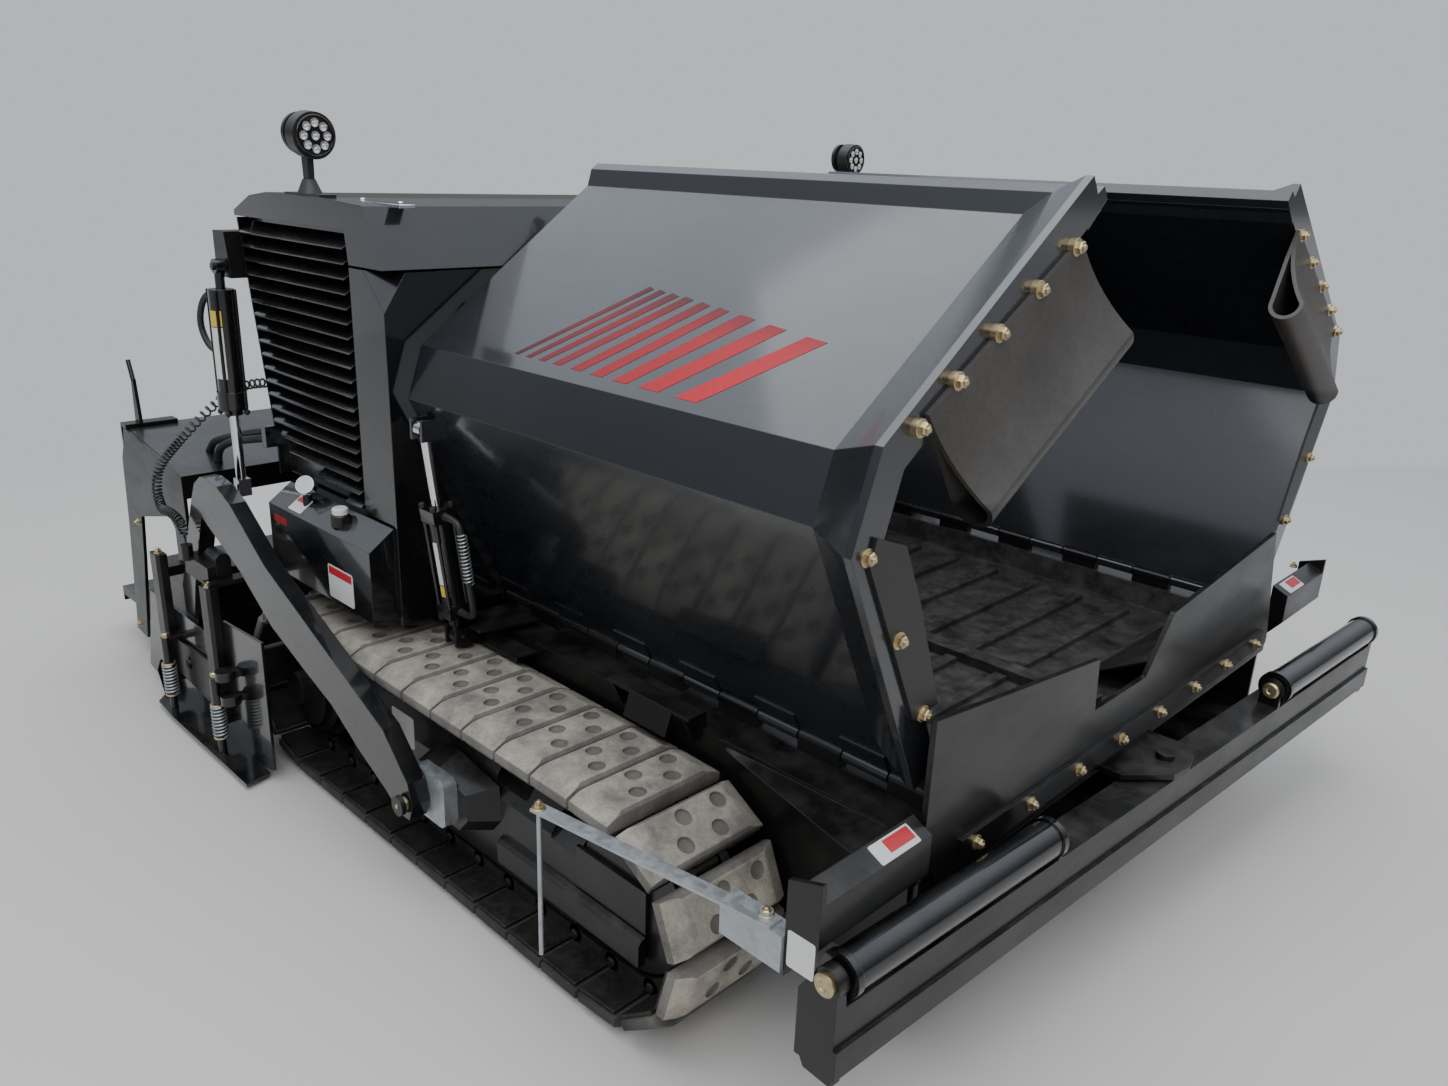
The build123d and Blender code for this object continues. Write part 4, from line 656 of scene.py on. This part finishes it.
def pad_mesh(outer):
    """One rubber pad with its four holes; outer is +1 where +Y is the track's outer side."""
    bm = bmesh.new()
    box(bm, (-PAD_HALF, PAD_HALF), (-PAD_WIDE, PAD_WIDE), (PAD_LOW, PAD_HIGH))
    for sign in (-1, 1):
        for place, normal in (((sign * PAD_HALF, 0, PAD_HIGH - 0.008), (sign, 0, 1)),
                              ((0, sign * PAD_WIDE, PAD_HIGH - 0.020), (0, sign * 0.020, 0.042))):
            geometry = bm.verts[:] + bm.edges[:] + bm.faces[:]
            done = bmesh.ops.bisect_plane(bm, geom=geometry, plane_co=place, plane_no=normal,
                                          clear_outer=True)
            edges = [e for e in done["geom_cut"] if isinstance(e, bmesh.types.BMEdge)]
            bmesh.ops.edgeloop_fill(bm, edges=edges)
    pad = loose_object("pad_blank", bm)
    bm = bmesh.new()
    for x, y in HOLES:
        place = (x + 0.010, outer * (y + 0.012), PAD_HIGH - 0.007)
        turned(bm, place, UP, [(0, 0.0168), (0.02, 0.0200)], 24)
    cutter = loose_object("pad_cutter", bm)
    hole = pad.modifiers.new("holes", "BOOLEAN")
    hole.object = cutter
    hole.operation = "DIFFERENCE"
    hole.solver = "EXACT"
    round_edges(pad, 0.0022, math.radians(20))
    mesh = evaluated_mesh(pad)
    for thing in (pad, cutter):
        bpy.data.objects.remove(thing)
    for face in mesh.polygons:
        x, y, z = face.center
        in_hole = 0.05 < z < PAD_HIGH - 0.001 and abs(y) < 0.105 and abs(x) < 0.05
        face.material_index = 2 if in_hole else 0 if face.normal.z > 0.75 else 1
    return mesh


def boss_arc(x, first):
    """Half circle of a link's boss about x, from the angle first on, as (x, z)."""
    angles = [first + math.pi * index / 8 for index in range(9)]
    return [(x + BOSS * math.cos(angle), BOSS * math.sin(angle) - 0.001) for angle in angles]


def link_outline():
    """Side of a chain link: two bosses joined by a waisted web, as (x, z) from the link's middle."""
    half = PITCH / 2
    return (boss_arc(half, -math.pi / 2) + [(half - 0.02, 0.0120), (0.02 - half, 0.0120)]
            + boss_arc(-half, math.pi / 2) + [(0.022 - half, -0.015), (half - 0.022, -0.015)])


def plate_outline():
    """A shoe plate's (x, y) outline, with two notches in its front edge."""
    rim = [(PLATE_REAR, -PLATE_WIDE), (PLATE_FRONT, -PLATE_WIDE)]
    for y in LINK_ROWS:
        rim += [(PLATE_FRONT, y - 0.019), (PLATE_FRONT - 0.018, y - 0.012),
                (PLATE_FRONT - 0.018, y + 0.012), (PLATE_FRONT, y + 0.019)]
    return rim + [(PLATE_FRONT, PLATE_WIDE), (PLATE_REAR, PLATE_WIDE)]


def add_link(chain, outline):
    """A pair of links with their bolts, and the pin at their rear end."""
    for y in LINK_ROWS:
        prism(chain, [(x, y - LINK_HALF, z) for x, z in outline], [(x, y + LINK_HALF, z) for x, z in outline])
        for bolt_x in (-0.022, 0.022):
            turned(chain, (bolt_x, y, 0.0), DOWN, [(-0.013, 0.0085), (0.001, 0.0085), (0.003, 0.007)], 6)
    turned(chain, (-PITCH / 2, -0.062, 0), (0, 1, 0),
           [(0, 0.009), (0.002, 0.0115), (0.122, 0.0115), (0.124, 0.009)], 14)


def add_track(side, sign):
    pad = pad_mesh(sign)
    outline, rim = link_outline(), plate_outline()
    pads, plates, chain = meshes = bmesh.new(), bmesh.new(), bmesh.new()
    for index in range(SHOES):
        start, end = chain_pin(index), chain_pin(index + 1)
        slope = math.atan2(end[1] - start[1], end[0] - start[0])
        middle = ((start[0] + end[0]) / 2, sign * TRACK_Y, (start[1] + end[1]) / 2)
        place = Matrix.Translation(middle) @ Matrix.Rotation(-slope, 4, "Y")
        counts = [len(bm.verts) for bm in meshes]
        pads.from_mesh(pad)
        prism(plates, [(x, y, PLATE_LOW) for x, y in rim], [(x, y, PAD_LOW) for x, y in rim])
        add_link(chain, outline)
        for bm, count in zip(meshes, counts):
            bm.verts.ensure_lookup_table()
            bmesh.ops.transform(bm, matrix=place, verts=bm.verts[count:])
    shoes = piece("track_pads_" + side, pads, [pad_top, pad_side, pad_hole], "chassis")
    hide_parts("track_" + side)
    piece("track_plates_" + side, plates, chain_steel, "chassis", 0.0012)
    piece("track_chain_" + side, chain, chain_steel, "chassis")


for side, sign in SIDES:
    add_track(side, sign)


# ---------------------------------------------------------------- bolts
def bolt(bm, place, axis, flat=0.0115, deep=0.010, washer=0.0155, sunk=0.002):
    """Washer, chamfered hexagon head and the stud's end."""
    axis = Vector(axis).normalized()
    start = Vector(place) - axis * sunk
    base = sunk + 0.0028
    turned(bm, start, axis, [(0, washer), (base - 0.0006, washer), (base, washer - 0.0008)], 24)
    spin = random.uniform(0, 1)
    top = base + deep
    turned(bm, start, axis, [(base - 0.001, flat), (base + deep * 0.78, flat), (top, flat * 0.84)], 6, spin)
    turned(bm, start, axis, [(base, flat * 0.5), (top + 0.003, flat * 0.5), (top + 0.0045, flat * 0.38)], 12)


# The wings' front bolts, as (distance outwards, z), and the X of the face under each.
RING_BOLTS = ((0.546, 1.563), (0.652, 1.498), (0.762, 1.435), (0.867, 1.370), (0.957, 1.308), (1.054, 1.120),
              (0.959, 0.959), (0.866, 0.796))
RING_FRONTS = (1.4755,) * 5 + (1.4665,) + (1.4735,) * 2
RING_BACK = 1.464           # X at which their washers start, inside the wing


def add_bolts():
    for side, sign in SIDES:
        bm = bmesh.new()
        for (y, z), front in zip(RING_BOLTS, RING_FRONTS):
            bolt(bm, (front, sign * y, z), FORWARD, sunk=front - RING_BACK)
        piece("wing_bolts_" + side, bm, gold_zinc, "wing_" + side)
    bm = bmesh.new()
    for index in range(8):
        bolt(bm, (1.513, -0.6965 + 0.199 * index, 0.482), FORWARD)
    bolt(bm, (1.440, 1.16, 0.58), UP, 0.008, 0.006, 0.011)
    piece("apron_bolts", bm, gold_zinc, "chassis")
    bm = bmesh.new()
    for sign in (-1, 1):
        bolt(bm, (0.347, sign * 1.236, 0.247), (0, sign, 0), 0.0125, 0.012, 0.018)
        bolt(bm, (-1.473, sign * 1.1985, 0.100), (0, sign, 0), 0.008, 0.006, 0.012)
        bolt(bm, (-1.343, sign * 1.1985, 0.499), (0, sign, 0), 0.008, 0.006, 0.012)
    piece("screed_bolts", bm, gold_zinc, "screed")
    bm = bmesh.new()
    bolt(bm, (1.400, -1.160, 0.4965), UP, 0.0095, 0.008, 0.014)
    bolt(bm, (0.890, -1.248, 0.4965), UP, 0.0095, 0.010, 0.014)
    piece("guide_bolts", bm, gold_zinc, "guide_bar")


add_bolts()


# ---------------------------------------------------------------- stripes
FILM = 0.0006               # how far stripes and labels stand out
# X of each stripe's rear and front edge and the distance up from the fold, at its bottom and then at its top.
STRIPES = ((0.937, 0.995, 0.026, 1.108, 1.160, 0.226), (0.835, 0.890, 0.029, 1.005, 1.052, 0.240),
           (0.757, 0.798, 0.030, 0.919, 0.964, 0.253), (0.687, 0.723, 0.032, 0.855, 0.886, 0.263),
           (0.622, 0.655, 0.034, 0.799, 0.828, 0.270), (0.560, 0.586, 0.036, 0.746, 0.773, 0.278),
           (0.511, 0.531, 0.037, 0.702, 0.727, 0.282), (0.466, 0.483, 0.038, 0.662, 0.682, 0.287),
           (0.424, 0.438, 0.039, 0.626, 0.642, 0.291))
# Foot and head of the wing's upper panel, as (distance outwards, z).
FOLD, PANEL_TOP = Vector((0.983, 1.250)), Vector((0.463, 1.628))


def add_stripes(side, sign):
    up = (PANEL_TOP - FOLD).normalized()
    out = Vector((up.y, -up.x))

    def lifted(rim, lift):
        places = [(x, FOLD + up * height + out * lift) for x, height in rim]
        return [(x, sign * across.x, across.y) for x, across in places]

    bm = bmesh.new()
    for rear, front, low, rear_top, front_top, high in STRIPES:
        rim = [(rear, low), (front, low - 0.001), (front_top, high - 0.003), (rear_top, high + 0.003)]
        prism(bm, lifted(rim, -0.0002), lifted(rim, FILM))
    piece("wing_stripes_" + side, bm, stripe_film, "wing_" + side)


for side, sign in SIDES:
    add_stripes(side, sign)

# ---------------------------------------------------------------- lamps
LAMP_X, LAMP_Y, LAMP_Z = -0.2545, 1.030, 1.700      # middle of a lamp's face
DIODE_RING, DIODES = 0.0295, 8                      # round the one in the middle


def add_lamp_faces():
    cups, diodes, rims, faces = bmesh.new(), bmesh.new(), bmesh.new(), bmesh.new()
    angles = [2 * math.pi * index / DIODES for index in range(DIODES)]
    spots = [(0.0, 0.0)] + [(DIODE_RING * math.cos(angle), DIODE_RING * math.sin(angle)) for angle in angles]
    for _, sign in SIDES:
        turned(faces, (LAMP_X, sign * LAMP_Y, LAMP_Z), FORWARD, [(0, 0.0475), (0.0022, 0.0475)], 40)
        turned(rims, (LAMP_X + 0.001, sign * LAMP_Y, LAMP_Z), FORWARD,
               [(0.0, 0.0478), (0.0055, 0.0478), (0.0065, 0.0462), (0.0065, 0.0440), (0.0015, 0.0435)], 40)
        for y, z in spots:
            spot = (LAMP_X + 0.002, sign * LAMP_Y + y, LAMP_Z + z)
            turned(cups, spot, FORWARD, [(0.0, 0.0045), (0.0035, 0.0100), (0.0042, 0.0105), (0.0042, 0.0098),
                                         (0.0016, 0.0050), (0.0012, 0.0035)], 18)
            turned(diodes, spot, FORWARD, [(0.0, 0.0032), (0.0030, 0.0032), (0.0042, 0.0018)], 12)
    piece("lamp_faces", faces, lens_white, "hood")
    piece("lamp_rims", rims, gloss, "hood")
    piece("lamp_cups", cups, reflector, "hood")
    piece("lamp_diodes", diodes, led_yellow, "hood")


add_lamp_faces()

# ---------------------------------------------------------------- jacks
SPRING_STEPS, SPRING_SIDES = 14, 6
JACK_Y = 1.300


def spring(bm, start, axis, length, radius, wire, turns):
    """Closed helical wire."""
    turn = bar_turn(axis)
    steps = SPRING_STEPS * turns
    corners = [2 * math.pi * index / SPRING_SIDES for index in range(SPRING_SIDES)]
    rings = []
    for index in range(steps + 1):
        angle = 2 * math.pi * index / SPRING_STEPS
        middle = Vector((radius * math.cos(angle), radius * math.sin(angle), length * index / steps))
        outward = Vector((math.cos(angle), math.sin(angle), 0))
        ring = [middle + wire * (math.cos(corner) * outward + math.sin(corner) * Vector(UP))
                for corner in corners]
        rings.append([bm.verts.new(Vector(start) + turn @ point) for point in ring])
    skin(bm, rings)


def add_jacks():
    springs, caps = bmesh.new(), bmesh.new()
    for sign in (-1, 1):
        for x in (-0.915, -0.555):
            spring(springs, (x, sign * JACK_Y, 0.078), UP, 0.094, 0.0190, 0.0028, 9)
            for low in (0.0715, 0.1740):
                turned(caps, (x, sign * JACK_Y, low), UP,
                       [(0, 0.019), (0.001, 0.0205), (0.004, 0.0205), (0.005, 0.019)], 24)
            turned(caps, (x, sign * JACK_Y, 0.262), UP, [(0, 0.0115), (0.012, 0.0115), (0.014, 0.009)], 6)
        for x in (-0.985, -0.615):
            bolt(caps, (x, sign * 1.266, 0.505), UP, 0.0095, 0.008, 0.0135)
    piece("jack_springs", springs, white_zinc, "screed")
    piece("jack_caps", caps, gold_zinc, "screed")


# ---------------------------------------------------------------- labels
LABEL_SUNK = 0.0004
APRON_SLOPE = (-0.903, 0, 0.431)                    # up the apron's sloping top
APRON_LABEL_Y = 0.955


def label(bm, corner, along, up, wide, high):
    """Thin rounded plate on a surface, from its lower corner."""
    along, up = Vector(along).normalized(), Vector(up).normalized()
    out = along.cross(up)
    radius = min(wide, high) * 0.08
    rim = []
    for cx, cy, first in ((wide - radius, radius, -90), (wide - radius, high - radius, 0),
                          (radius, high - radius, 90), (radius, radius, 180)):
        for step in range(4):
            angle = math.radians(first + 30 * step)
            rim.append((cx + radius * math.cos(angle), cy + radius * math.sin(angle)))
    base = Vector(corner)
    prism(bm, [base + along * a + up * b - out * LABEL_SUNK for a, b in rim],
          [base + along * a + up * b + out * FILM for a, b in rim])


def side_label(bm, sign, rear, front, out, low, high, up=UP):
    """Label that faces outwards on one side of the chassis, high tall and with its foot at low."""
    start, way = (rear, 1) if sign < 0 else (front, -1)
    label(bm, (start, sign * out, low), (way, 0, 0), up, front - rear, high)


def add_labels():
    white, red = bmesh.new(), bmesh.new()
    for sign in (-1, 1):
        side_label(white, sign, -0.176, -0.047, 1.122, 0.577, 0.090)
        side_label(red, sign, -0.170, -0.053, 1.1227, 0.642, 0.021)
        side_label(red, sign, -0.470, -0.400, 1.122, 0.708, 0.020)
        side_label(white, sign, 0.135, 0.235, 1.136, 0.300, 0.085)
        tank_slope = (0, -sign * 0.817, 0.577)
        side_label(white, sign, -0.40, -0.33, 1.1138, 0.7582, 0.048, tank_slope)
        side_label(red, sign, -0.396, -0.334, 1.0898, 0.7757, 0.014, tank_slope)
        label(white, (1.5200, sign * APRON_LABEL_Y - 0.055, 0.5812), (0, 1, 0), APRON_SLOPE, 0.110, 0.040)
        label(red, (1.5110, sign * APRON_LABEL_Y - 0.020, 0.5862), (0, 1, 0), APRON_SLOPE, 0.070, 0.026)
    label(white, (1.4585, -1.1720, 0.437), FORWARD, UP, 0.058, 0.070)
    piece("labels_white", white, white_film, "chassis")
    piece("labels_red", red, red_film, "chassis")


# ---------------------------------------------------------------- cylinders' trim
PATCH_STEPS = 10
LIFT_X, LIFT_Y, LIFT_TOP = -0.700, 1.110, 1.303     # a lift cylinder's axis and its upper end


def add_patch(name, look, body, bar, low, high):
    """Curved label wrapped on a round bar, from low to high along it.

    bar is its start, its axis, the side faced, its radius and the degrees covered to each side of that.
    """
    start, axis, facing, radius, half = bar
    axis = Vector(axis).normalized()
    face = (Vector(facing) - axis * Vector(facing).dot(axis)).normalized()
    over = axis.cross(face)
    inner, outer = [], []
    for index in range(PATCH_STEPS + 1):
        angle = math.radians(-half + 2 * half * index / PATCH_STEPS)
        away = math.cos(angle) * face + math.sin(angle) * over
        inner.append(Vector(start) + away * (radius - LABEL_SUNK))
        outer.append(Vector(start) + away * (radius + FILM))
    rim = inner + outer[::-1]
    bm = bmesh.new()
    prism(bm, [p + axis * low for p in rim], [p + axis * high for p in rim])
    piece(name, bm, look, body)


def add_wing_cylinder_trim(side, sign):
    """Label, band, nuts, and the pipe between the ports with its spring guard."""
    body = "wing_barrel_" + side
    eye = Vector((0.170, sign * 0.962, 0.535))
    axis = Vector((0, sign * 0.1261, 0.9920))
    out = Vector((0, sign * 0.992, -0.1261))

    def spot(along, x, outwards=0.0):
        return eye + axis * along + Vector((x, 0, 0)) + out * outwards

    bar = (eye, axis, (0.5, sign, 0), 0.0262, 26)
    add_patch("wing_cylinder_label_" + side, white_film, body, bar, 0.150, 0.262)
    add_patch("wing_cylinder_band_" + side, yellow_film, body, bar, 0.118, 0.147)
    nuts = bmesh.new()
    for along in (0.075, 0.328):
        turned(nuts, spot(along, 0.028), FORWARD,
               [(0, 0.011), (0.010, 0.011), (0.012, 0.0095), (0.030, 0.0095), (0.034, 0.008)], 6)
    for x in (-0.024, 0.024):
        for outwards in (-0.024, 0.024):
            for along in (0.046, 0.347):
                turned(nuts, spot(along, x, outwards), axis,
                       [(0, 0.0078), (0.010, 0.0078), (0.012, 0.0062)], 6)
    piece("wing_cylinder_nuts_" + side, nuts, cast, body, 0.0006)
    rail = [spot(*place) for place in ((0.328, 0.058), (0.328, 0.085), (0.300, 0.094), (0.210, 0.100, 0.006),
                                       (0.120, 0.104, 0.006), (0.078, 0.092), (0.075, 0.058))]
    pipe, _ = tube_mesh("wing_cylinder_line_" + side, rail, 0.0085, hose_rubber)
    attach(pipe, "wing_barrel_" + side)
    guard = bmesh.new()
    low, high = spot(0.175, 0.1015, 0.005), spot(0.300, 0.0945)
    spring(guard, low, high - low, (high - low).length, 0.0108, 0.0018, 14)
    piece("wing_cylinder_guard_" + side, guard, white_zinc, body)


def add_lift_cylinder_trim(side, sign):
    """Label, band and the four tie rods with their nuts."""
    body = "lift_barrel_" + side
    bar = ((LIFT_X, sign * LIFT_Y, LIFT_TOP), DOWN, (0.55, sign, 0), 0.0342, 30)
    add_patch("lift_cylinder_label_" + side, white_film, body, bar, 0.10, 0.24)
    add_patch("lift_cylinder_band_" + side, yellow_film, body, bar, 0.055, 0.097)
    ties = bmesh.new()
    for y in (-0.026, 0.026):
        for x in (-0.026, 0.026):
            place = (LIFT_X + x, sign * LIFT_Y + y)
            turned(ties, (*place, 0.958), UP,
                   [(0, 0.0035), (0.003, 0.0045), (0.342, 0.0045), (0.345, 0.0035)], 10)
            turned(ties, (*place, 0.962), UP, [(0, 0.008), (0.009, 0.008), (0.010, 0.0065)], 6)
    piece("lift_cylinder_ties_" + side, ties, satin, body)


# ---------------------------------------------------------------- small fittings
BUMPER_PIN_X, BUMPER_TURN = 1.580, math.radians(-3.05)
ROLLER_AHEAD, ROLLER_Z = 0.025, 0.450


def on_rollers(y):
    """Place on the push rollers' axis; the bumper is parked a little turned about its pin."""
    sine, cosine = math.sin(BUMPER_TURN), math.cos(BUMPER_TURN)
    return Vector((BUMPER_PIN_X + ROLLER_AHEAD * cosine - y * sine,
                   ROLLER_AHEAD * sine + y * cosine, ROLLER_Z))


def add_roller_caps():
    caps = bmesh.new()
    for y, way in ((-1.1695, -1), (1.1695, 1), (-0.5085, 1), (0.5085, -1)):
        start = on_rollers(y)
        turned(caps, start, on_rollers(y + way) - start,
               [(-0.001, 0.019), (0.004, 0.021), (0.009, 0.021), (0.012, 0.017),
                (0.012, 0.009), (0.010, 0.007)], 28)
    piece("roller_end_caps", caps, gold_zinc, "bumper")


def add_lid_latch():
    latch = bmesh.new()
    box(latch, (-0.190, 0.040), (-0.985, -0.945), (1.5495, 1.5585))
    for x in (-0.165, 0.010):
        turned(latch, (x, -0.965, 1.556), UP, [(0, 0.008), (0.006, 0.008), (0.008, 0.006)], 6)
    piece("lid_latch", latch, chrome, "hood", 0.003)


def add_tank_fittings():
    """A gauge on a short neck and a filler with its cap, on each side tank."""
    bezels, dials, necks, tank_caps = bmesh.new(), bmesh.new(), bmesh.new(), bmesh.new()
    for sign in (-1, 1):
        middle = Vector((-0.345, sign * 1.083, 0.826))
        face = Vector((0.55, sign * 0.62, 0.55)).normalized()
        turned(necks, (middle.x, middle.y, 0.770), UP, [(0, 0.012), (0.040, 0.012), (0.050, 0.009)], 16)
        turned(bezels, middle - face * 0.014, face,
               [(0, 0.022), (0.003, 0.026), (0.024, 0.026), (0.027, 0.0245),
                (0.027, 0.0225), (0.023, 0.022)], 36)
        turned(dials, middle + face * 0.0085, face, [(0, 0.0222), (0.0025, 0.0222)], 36)
        turned(necks, (-0.155, sign * 1.088, 0.765), UP, [(0, 0.024), (0.028, 0.024), (0.032, 0.020)], 28)
        turned(tank_caps, (-0.155, sign * 1.088, 0.796), UP,
               [(0, 0.019), (0.002, 0.0205), (0.015, 0.0205), (0.018, 0.017)], 12)
    piece("gauge_bezels", bezels, chrome, "chassis")
    piece("gauge_dials", dials, clear_dial, "chassis")
    piece("tank_necks", necks, satin, "chassis")
    piece("tank_caps", tank_caps, white_film, "chassis")


add_jacks()
add_labels()
for side, sign in SIDES:
    add_wing_cylinder_trim(side, sign)
    add_lift_cylinder_trim(side, sign)
add_roller_caps()
add_lid_latch()
add_tank_fittings()
